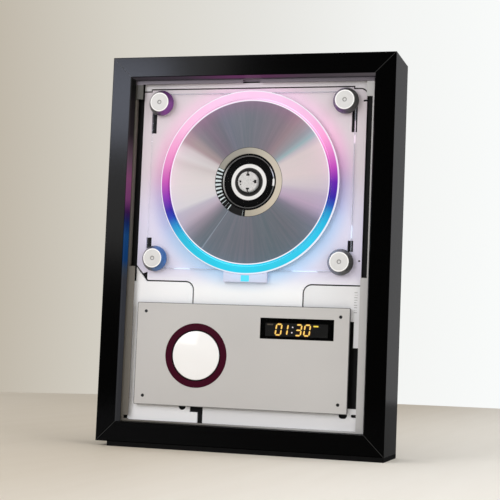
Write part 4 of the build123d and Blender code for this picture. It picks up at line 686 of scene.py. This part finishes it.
# %% Colour, clearness and grooves
groove = 0.09 * mm
silver = mirror.mix(inside, mirror.mix(tracked, coded, wedge), mirror.round_ramp(turn, painted_stacking_ring_highlights))
mirror.surface(base_color=mirror.mix(rim, silver, grey(30)),
               emission_color=mirror.mix(rim, grey(0), rim_painted_ring_light),
               alpha=1 - inside * (0.995 - stacking_ring * 0.9),
               normal=mirror.bump((distance * (tau / groove)).sine() * 0.5 + 0.5, 0.002 * mm))
print("a groove every", round(groove / mm, 2), "mm")

# %% The disc's body: its profile starts and ends on the back
disc_front, disc_back = front_of("disc"), back_of("disc")
first, last = 20 * mm, 40 * mm
disc_section = rounded([(first, disc_back), (hole, disc_back), (hole, disc_front),
                        (disc_radius, disc_front), (disc_radius, disc_back), (last, disc_back)], 0.25 * mm)
dress(turned("disc_surface", disc_axis, closed(disc_section), sides=256), mirror, "disc", "disc")

# %% [markdown]
# ## The hub and the turntable
#
# The hub is a speckled moulding with dark marks, the turntable under it is black with one printed
# ring, and a soft white pad carries the disc. All keep their CAD shape, so only paint is needed:
# rings by the distance from the axis, and marks as rectangles in X and Z.

# %% Hub: (x, z, width, height) of its marks in mm
marks_at = [(0, 4.8, 2.4, 1.3), (0, -5.0, 2.4, 1.1), (0, 6.3, 0.7, 3.0), (0, -6.4, 0.7, 2.8),
            (5.6, 0, 1.8, 2.4), (4.4, 0, 1.4, 0.6), (-5.4, 0.2, 1.3, 1.1), (-5.2, -2.1, 0.9, 0.8)]
hub = Finish("speckled hub", roughness=0.45)
x, _, z = hub.split(hub.here((disc_axis[0], 0, disc_axis[1])))
marks = [((x - at_x * mm).size() < wide * mm / 2) * ((z - at_z * mm).size() < tall * mm / 2)
         for at_x, at_z, wide, tall in marks_at]
speckled = hub.mix(hub.speckle(hub.here(), 0.5 * mm) * 0.35 + 0.75, grey(60), grey(212))
hub.surface(base_color=hub.mix(sum(marks), speckled, grey(12)))
hub.wear("hub")

# %% Turntable and pad
platter = Finish("black turntable", roughness=0.4, specular_ior_level=0.06)
distance, _ = platter.polar(disc_axis)
printed = distance.band(12.0 * mm, 13.0 * mm, 0.1 * mm)
collar = distance.band(7.3 * mm, 10.4 * mm, 0.15 * mm)
platter.surface(base_color=platter.mix(printed, platter.mix(collar, grey(3), grey(44)), grey(232)))
platter.wear("turntable")
pad = Finish("white pad", roughness=0.7)
distance, _ = pad.polar(disc_axis)
pad.surface(base_color=pad.mix(distance.step(10.2 * mm, 10.5 * mm), grey(44), grey(236)))
pad.wear("turntable_pad")

# %% [markdown]
# ## Thumb nuts
#
# Four turned nuts hold the clear sheet. The face is bright with a small dimple, with a painted
# highlight on its rim and painted shade round the dimple. The flank flares towards the sheet and
# mirrors the ring beside it, partly for real and partly as painted reflection: violet above, blue
# below, and grey on the side away from the ring. All four share one finish: with X and Z counted
# from their middle and made positive, they fall on one place.

# %% The nuts' finish
nut_rim, nut_foot = 6.9 * mm, 9.3 * mm
high_nut, low_nut = axis_of("thumb_nut_top_right"), axis_of("thumb_nut_bottom_right")
nut_level, nut_rise = (high_nut[1] + low_nut[1]) / 2, (high_nut[1] - low_nut[1]) / 2
steel = Finish("turned steel")
x, _, z = steel.split(steel.here((0, 0, nut_level)))
across, up = x.size() - high_nut[0], z.size() - nut_rise
reach = (across * across + up * up) ** 0.5
flank = reach > nut_rim + 0.05 * mm
# Painted shade round the dimple, and a painted highlight on the face's rim
dimple_painted_shade = reach.band(0.9 * mm, 1.6 * mm, 0.1 * mm)
painted_rim_highlight = reach.band(6.1 * mm, nut_rim, 0.2 * mm)
face = steel.mix(painted_rim_highlight, steel.mix(dimple_painted_shade, grey(218), grey(140)), grey(252))
# Painted reflection of the ring on the flanks: violet above, blue below, grey away from the ring
left_painted_reflection = steel.mix(z > 0, screen(78, 116, 172), screen(124, 72, 142))
right_painted_reflection = steel.mix(z > 0, screen(112, 116, 130), screen(92, 78, 116))
flank_painted_reflection = steel.mix(across.step(4 * mm, -4 * mm), grey(88), steel.mix(x > 0, left_painted_reflection, right_painted_reflection))
turning = steel.noise(steel.here(stretch=(1, 30, 1)), 0.3 * mm)
steel.surface(base_color=steel.mix(flank, face, flank_painted_reflection), metallic=flank * 0.45,
              roughness=0.4 - flank * 0.2, normal=steel.bump(turning, 0.001 * mm))
print("nuts", round(2 * nut_rise / mm, 1), "mm apart in height")

# %% Four nuts on the lathe
dimple_radius, dimple_depth, foot_height = 1.4 * mm, 0.5 * mm, 1.2 * mm
stud_hole, hole_end = 1.6 * mm, 1.3 * mm
for corner in ("top_left", "top_right", "bottom_left", "bottom_right"):
    node = f"thumb_nut_{corner}"
    nut_front, nut_back = front_of(node), back_of(node)
    section = rounded([(0, nut_front + dimple_depth), (dimple_radius, nut_front), (nut_rim, nut_front),
                       (nut_foot, nut_back - foot_height), (nut_foot, nut_back),
                       (stud_hole, nut_back), (stud_hole, nut_front + hole_end), (0, nut_front + hole_end)],
                      0.35 * mm)
    dress(turned(f"{node}_surface", axis_of(node), section, sides=96), steel, f"{node}_body", node)

# %% [markdown]
# ## The clear sheet
#
# The sheet is thin acrylic. Its face is nearly invisible, so it is almost fully transparent. Only
# its border shows: a thin line, painted more opaque except at the left as a painted highlight, with
# short painted glints where it catches the ring's light. The outline is a rectangle with round
# corners and the opening is round, so the sheet can be turned as well, with radii that change with
# the angle.

# %% The sheet's finish
clear = Finish("clear acrylic", base_color=screen(200, 206, 220), roughness=0.06, emission_strength=1.0)
low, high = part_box("clear_base")
sheet_middle = np.array([low.x + high.x, low.z + high.z]) / 2
sheet_half = np.array([high.x - low.x, high.z - low.z]) / 2
x, _, z = clear.split(clear.here((sheet_middle[0], 0, sheet_middle[1])))
near_side, near_end = 70 * mm, 60 * mm
inwards = (sheet_half[0] - x.size()).least(sheet_half[1] - z.size())
border = 1 - inwards.step(0.1 * mm, 0.8 * mm)


def stretches(value, spans):
    """1 inside any of the spans, which are given in mm from the sheet's middle."""
    return sum(value.band(start * mm, end * mm, mm) for start, end in spans)


right_painted_glints = (x > near_side) * stretches(z, [(35, 43), (27, 33), (-40, -31)])
top_painted_glints = (z > near_end) * stretches(x, [(-13, -11), (11, 13)])
low_painted_glints = (z < -near_end) * stretches(x, [(34, 52), (-54, -42)])
_, turn = clear.polar(disc_axis)
painted_glint_colour = clear.mix(0.6, clear.round_ramp(turn, around), grey(250))
# Painted highlight and glints: the border more opaque except at the left, glowing in places
clear.surface(alpha=0.003 + border * (0.1 + (x > -near_side) * 0.3),
              emission_color=clear.mix(border * (right_painted_glints + top_painted_glints + low_painted_glints), grey(0), painted_glint_colour))
print("the sheet is", np.round(2 * sheet_half / mm, 1), "mm")

# %% How far the sheet reaches at each angle


def sheet_edge(angle, corner=2 * mm):
    """How far the sheet reaches from the disc's axis at an angle. For a point p, q = |p - middle| -
    (half - corner), and |max(q, 0)| + min(max(q), 0) = corner on the outline; halving finds it."""
    near, far = np.full(len(angle), 50 * mm), np.full(len(angle), 120 * mm)
    way = np.stack([np.cos(angle), np.sin(angle)], axis=1)
    for _ in range(40):
        reach = (near + far) / 2
        q = np.abs(way * reach[:, None] + np.array(disc_axis) - sheet_middle) - (sheet_half - corner)
        outside = np.linalg.norm(np.maximum(q, 0), axis=1) + np.minimum(q.max(axis=1), 0) > corner
        near, far = np.where(outside, near, reach), np.where(outside, reach, far)
    return near


def sheet_opening(angle, radius=57.5 * mm, slot_end=63.2 * mm, slot_half=5.4 * mm):
    """How far the round opening and the slot at its left reach: the larger of the radius and, on the
    left, min(end / |cos a|, half / |sin a|)."""
    across, up = np.maximum(-np.cos(angle), 1e-6), np.maximum(np.abs(np.sin(angle)), 1e-6)
    return np.maximum(radius, np.where(np.cos(angle) < 0, np.minimum(slot_end / across, slot_half / up), 0))


angle = np.linspace(0, tau, 1440, endpoint=False)
inner, outer, bevel = sheet_opening(angle), sheet_edge(angle), 0.25 * mm
print("the sheet reaches", round(outer.min() / mm, 1), "to", round(outer.max() / mm, 1), "mm from the axis")

# %% The sheet on the lathe
sheet_front, sheet_back = low.y, high.y - 0.05 * mm
loops = [(inner, sheet_back), (inner, sheet_front), (outer - bevel, sheet_front),
         (outer, sheet_front + bevel), (outer, sheet_back), (inner, sheet_back)]
dress(turned("clear_sheet_surface", disc_axis, loops, sides=len(angle)), clear, "root", "clear_base")

# %% [markdown]
# ## The knob
#
# The knob is a shallow dome that fills a dark red ring. Its depth grows with the square of the
# distance from the axis, so the middle is flat and the edge falls away. White and glossy, it shows
# its shape by the lamps it mirrors.

# %% The knob's dome and its ring
gloss = Finish("glossy white", base_color=grey(254), roughness=0.12, coat_weight=0.6)
gloss.surface(normal=gloss.bump(gloss.noise(gloss.here(), 9 * mm), 0.01 * mm))
knob_wall, skirt_depth, dome_share = 1.4 * mm, 3.4 * mm, 0.96
crown, shoulder = front_of("control_knob"), front_of("control_panel")
reach = np.linspace(0, dome_share, 24)[:, None] * knob_radius
dome = np.concatenate([reach, crown + (shoulder - crown) * (reach / knob_radius) ** 2], axis=1)
skirt = rounded([tuple(dome[-1]), (knob_radius, shoulder), (knob_radius, shoulder + skirt_depth),
                 (knob_radius - knob_wall, shoulder + skirt_depth),
                 (knob_radius - knob_wall, shoulder + knob_wall), (0, shoulder + knob_wall)], 0.35 * mm)
dress(turned("knob_surface", knob_axis, np.concatenate([dome[:-1], skirt])), gloss, "knob",
      "control_knob")
trim = Finish("dark red ring", roughness=0.28, specular_ior_level=0.12)
distance, _ = trim.polar(knob_axis)
red = distance.band(knob_radius + 0.9 * mm, radius_of("knob_trim_ring") - 0.8 * mm, 0.15 * mm)
trim.surface(base_color=trim.mix(red, grey(4), screen(62, 3, 28)))
trim.wear("knob_trim_ring")

# %% [markdown]
# ## The clock display
#
# Behind a smoked window stand four figures of up to seven bars, leaning to the right. A lit bar has
# a pale core and an orange halo, so each is made twice: narrow and bright, and behind it wider and
# dimmer.

# %% Flat plates from outlines
bar_gap = 0.22


def bar_corners(start, end, width):
    """Six corners of a bar, each (across, up) in mm. Its points lie a gap inside start and end, and
    its shoulders half a width further in and half a width to each side."""
    start, end = np.array(start, float), np.array(end, float)
    along = (end - start) / np.linalg.norm(end - start)
    start, end = start + bar_gap * along, end - bar_gap * along
    side = np.array([-along[1], along[0]]) * width / 2
    first, last = start + along * width / 2, end - along * width / 2
    return np.array([start, first + side, last + side, end, last - side, first - side])


def flat_piece(name, outlines, y, thickness):
    """Outlines of (x, z) points in mm, all with as many points, become thin plates from y backwards."""
    outlines = np.array(outlines, float) * mm
    count, corners = outlines.shape[:2]
    depth = np.array([y, y + thickness])[None, :, None]
    x, z = (np.repeat(outlines[:, None, :, axis], 2, axis=1) for axis in (0, 1))
    points = np.stack([x, np.broadcast_to(depth, x.shape), z], axis=-1)
    index = np.arange(points[..., 0].size).reshape(count, 2, corners)
    following = np.roll(index, -1, axis=2)
    sides = np.stack([index[:, 0], following[:, 0], following[:, 1], index[:, 1]], axis=-1)
    faces = index.reshape(-1, corners).tolist() + sides.reshape(-1, 4).tolist()
    return new_piece(name, points.reshape(-1, 3), faces)


def oblong(left, foot, right, top):
    """The outline of an upright rectangle."""
    return [(left, foot), (right, foot), (right, top), (left, top)]


print("a bar has", len(bar_corners((0, 0), (1, 0), 0.2)), "corners")

# %% Seven bars make a figure, each on the grid of its four corners and two middles
half_width, half_height = 1.9, 3.75
ends = {"top": ((-1, 1), (1, 1)), "middle": ((-1, 0), (1, 0)), "bottom": ((-1, -1), (1, -1)),
        "upper left": ((-1, 1), (-1, 0)), "upper right": ((1, 1), (1, 0)),
        "lower left": ((-1, 0), (-1, -1)), "lower right": ((1, 0), (1, -1))}
bars_of = {"0": [name for name in ends if name != "middle"], "1": ["upper right", "lower right"],
           "3": [name for name in ends if "left" not in name]}
bars = [(*np.array(ends[name]) * (half_width, half_height), centre)
        for figure, centre in zip("0130", (26.1, 30.6, 40.5, 46.7)) for name in bars_of[figure]]
print("bars:", len(bars))

# %% Bars and dots lean over, on the line of figures
lean, line, colon_centre = 0.13, 87.6, 36.0


def leaning(outline, centre):
    """Moves an outline to its place: x = centre + x + lean z, z = line + z."""
    return np.stack([centre + outline[:, 0] + lean * outline[:, 1], line + outline[:, 1]], axis=1)


dot = np.linspace(0, tau, 16)[:-1]
dot = 0.5 * np.stack([np.cos(dot), np.sin(dot)], axis=1)
figures, halos = ([leaning(bar_corners(start, end, width), centre) for start, end, centre in bars]
                  for width in (0.95, 1.7))
dots = [dot + (colon_centre + lean * z, line + z) for z in (-1.9, 1.9)]
print("bars with halos:", len(figures), "dots:", len(dots))

# %% The plates behind the smoked window
behind_glass, plate_depth = back_of("display_window") - 0.08 * mm, 0.03 * mm
amber = Finish("amber bars", base_color=screen(90, 50, 10), roughness=0.4,
               emission_color=screen(255, 214, 112), emission_strength=2.6)
orange = Finish("orange halo", base_color=grey(20), emission_color=screen(196, 84, 16),
                emission_strength=0.8)
white_dots = Finish("white dots", base_color=grey(200), emission_color=screen(240, 226, 228),
                    emission_strength=2.0)
lemon = Finish("yellow dash", base_color=screen(90, 80, 20), roughness=0.4,
               emission_color=screen(255, 222, 84), emission_strength=2.4)
unlit = Finish("unlit dash", base_color=screen(190, 176, 160))
field = Finish("display field", base_color=grey(72))
lit_dash, unlit_dash = oblong(51.2, 90.1, 54.7, 91.1), oblong(17.8, 90.6, 22.0, 91.5)
display = [("clock_digits", figures, 0, plate_depth, amber),
           ("clock_halo", halos, 0.033 * mm, 0.004 * mm, orange),
           ("clock_dots", dots, 0, plate_depth, white_dots),
           ("lit_dash", [lit_dash], 0, plate_depth, lemon),
           ("unlit_dash", [unlit_dash], 0, plate_depth, unlit),
           ("display_field", [oblong(16.4, 82.8, 61.6, 92.2)], 0.04 * mm, plate_depth, field)]
for name, outlines, back, depth, finish in display:
    dress(flat_piece(name, outlines, behind_glass + back, depth), finish, "root")

# %% The smoked window
smoked = Finish("smoked window", base_color=grey(2), roughness=0.08, alpha=0.6, specular_ior_level=0.3)
smoked.surface(normal=smoked.bump(smoked.noise(smoked.here(), 12 * mm), 0.004 * mm))
smoked.wear("display_window")
bare = [name for name, piece in nodes.items() if not piece.data.materials or not piece.data.materials[0]]
print("nodes without a finish:", bare)

# %% [markdown]
# ## The table
#
# The player stands on a round table of pale wood. Its grain is noise stretched along Y, and it is
# painted paler at the right, a painted pool of light. Mirrored by a glossy piece it is darker, so
# that the rails stay black.

# %% The table top
wood = Finish("pale table", roughness=0.55, specular_ior_level=0.3)
# Painted light: the table is paler towards the right
painted_light_to_right = wood.split(wood.here())[0].step(-0.1, 0.21)
streaks = wood.noise(wood.here(stretch=(1, 0.08, 1)), 20 * mm, 6, 0.6)
fibre = wood.noise(wood.here(stretch=(1, 0.08, 1)), 3 * mm, 4)
pale = wood.mix(painted_light_to_right * 0.85 + streaks * 0.18, screen(210, 199, 181), screen(252, 249, 242))
mirrored_ray = wood.node("ShaderNodeLightPath", {}, (), "Is Glossy Ray")
wood.surface(base_color=wood.mix(mirrored_ray, pale, grey(90)), normal=wood.bump(fibre, 0.02 * mm))
table_radius, table_depth, table_middle = 0.95, 0.03, (0.15, 0.2)
slab = rounded([(0, 0), (table_radius, 0), (table_radius, -table_depth), (0, -table_depth)], 0.006)
swapped = [0, 2, 1]      # Y and Z change places, so the table's axis runs along Z
table = piece_from_grid("table_top", round_grid(table_middle, slab, 256)[..., swapped])
table.data.materials.append(wood.material)
print("table top of", 2 * table_radius, "m")

# %% [markdown]
# ## The room
#
# The world lights the player softly from all sides. The camera sees it as a wall that goes from
# warm grey at the left to white at the right. Glossy pieces mirror something darker, nearly black
# towards the front, so that the lacquer stays black.

# %% The room
world = bpy.data.worlds.new("room")
bpy.context.scene.world = world
world.use_nodes = True
room = Tree(world.node_tree)
soft = world.node_tree.nodes["Background"]
room.feed(soft.inputs["Color"], screen(250, 248, 245))
room.feed(soft.inputs["Strength"], 0.72)


def wall(first, last, axis, colours):
    """A background whose colour goes evenly along an axis (0, 1 or 2), from first to last."""
    along = room.split(room.node("ShaderNodeTexCoord", {}, {}, "Generated"))[axis]
    share = room.node("ShaderNodeMapRange", {}, {"Value": along, "From Min": first, "From Max": last})
    stops = [(number / (len(colours) - 1), screen(*colour)) for number, colour in enumerate(colours)]
    return room.node("ShaderNodeBackground", {}, {"Color": room.ramp(share, stops)})


seen = wall(-0.45, -0.09, 0, [(192, 184, 170), (215, 211, 201), (228, 227, 222), (243, 244, 242),
                              (249, 251, 250)])
mirrored = wall(-0.25, 0.15, 1, [(3, 3, 3), (80, 80, 82), (140, 140, 141)])
shade = Value(room, soft.outputs[0])
for ray, background in (("Glossy", mirrored), ("Transmission", seen), ("Camera", seen)):
    is_ray = room.node("ShaderNodeLightPath", {}, (), f"Is {ray} Ray")
    shade = room.node("ShaderNodeMixShader", {}, (is_ray, shade, background))
room.feed(world.node_tree.nodes["World Output"].inputs[0], shade)
print("the room has", len(world.node_tree.nodes), "nodes")

# %% [markdown]
# ## Lamps
#
# A large soft lamp at the left of the camera and a smaller one at the right model the forms, and
# one hangs over the table. The lacquer mirrors them weakly or not at all. A small lamp makes the
# sheen on the frame's top left corner, and thirty tiny ones throw the ring's colours around it.

# %% Four lamps for the room


def new_lamp(name, kind, place, watts, colour, sheen):
    """A lamp at a place; sheen is how strongly glossy pieces mirror it."""
    light = bpy.data.lights.new(name, kind)
    light.energy, light.color, light.specular_factor = watts, colour, sheen
    lamp = bpy.data.objects.new(name, light)
    lamp.location = place
    bpy.context.scene.collection.objects.link(lamp)
    return lamp


def lamp_at(name, place, target, side, watts, colour, sheen=1.0):
    """A square lamp at a place, turned towards a target."""
    lamp = new_lamp(name, "AREA", place, watts, colour, sheen)
    lamp.data.shape, lamp.data.size = "SQUARE", side
    way = np.array(target) - np.array(place)
    lamp.rotation_euler = (np.arctan2(np.hypot(way[0], way[1]), -way[2]), 0, np.arctan2(-way[0], way[1]))


middle = (0, 0, 0.15)
sheen_at = np.array([cad_low[0], cad_low[1], 0.264])
to_sheen_lamp = 2.0 * np.array([-0.36, -0.91, 0.18])
lamp_at("large soft lamp", (-1.1, -1.6, 0.85), middle, 1.2, 12, screen(255, 253, 252), 0.0)
lamp_at("right lamp", (1.5, -0.9, 0.9), middle, 0.8, 5, screen(250, 252, 255), 0.4)
lamp_at("sheen lamp", sheen_at + to_sheen_lamp, sheen_at, 0.2, 1.5, screen(222, 230, 255))
lamp_at("lamp over the table", (0.25, -0.15, 1.6), (0.25, -0.14, 0), 0.9, 5, screen(255, 252, 248), 0.0)
print("lamps for the room:", len(bpy.data.lights))

# %% Tiny lamps round the ring
ring_lamps, ring_watts, lamp_radius, lamp_depth = 30, 0.0009, 4 * mm, 1.5 * mm
for number in range(ring_lamps):
    degrees = 360 * number / ring_lamps
    place = (disc_axis[0] + ring_middle * cos(radians(degrees)), cad_low[1] + lamp_depth,
             disc_axis[1] + ring_middle * sin(radians(degrees)))
    colour = screen(*screen_at(degrees, around))
    lamp = new_lamp(f"ring lamp {number}", "POINT", place, ring_watts, colour, 0.3)
    lamp.data.shadow_soft_size = lamp_radius
print("lamps:", len(bpy.data.lights))

# %% [markdown]
# ## The camera
#
# The camera stands low at the right, about a metre away, rolled by two degrees. Its long lens
# keeps the player's edges nearly parallel.

# %% The camera
camera = bpy.data.objects.new("camera", bpy.data.cameras.new("camera"))
camera.location = (0.26149, -0.91346, 0.07130)
camera.rotation_euler = [radians(degrees) for degrees in (94.417, -2.315, 15.906)]
camera.data.lens, camera.data.sensor_width = 94.78, 36
camera.data.clip_start = 0.01
bpy.context.scene.collection.objects.link(camera)
bpy.context.scene.camera = camera
bpy.context.scene.view_settings.view_transform = "Standard"
print("camera", round(float(np.linalg.norm(camera.location)), 2), "m from the middle of the foot")
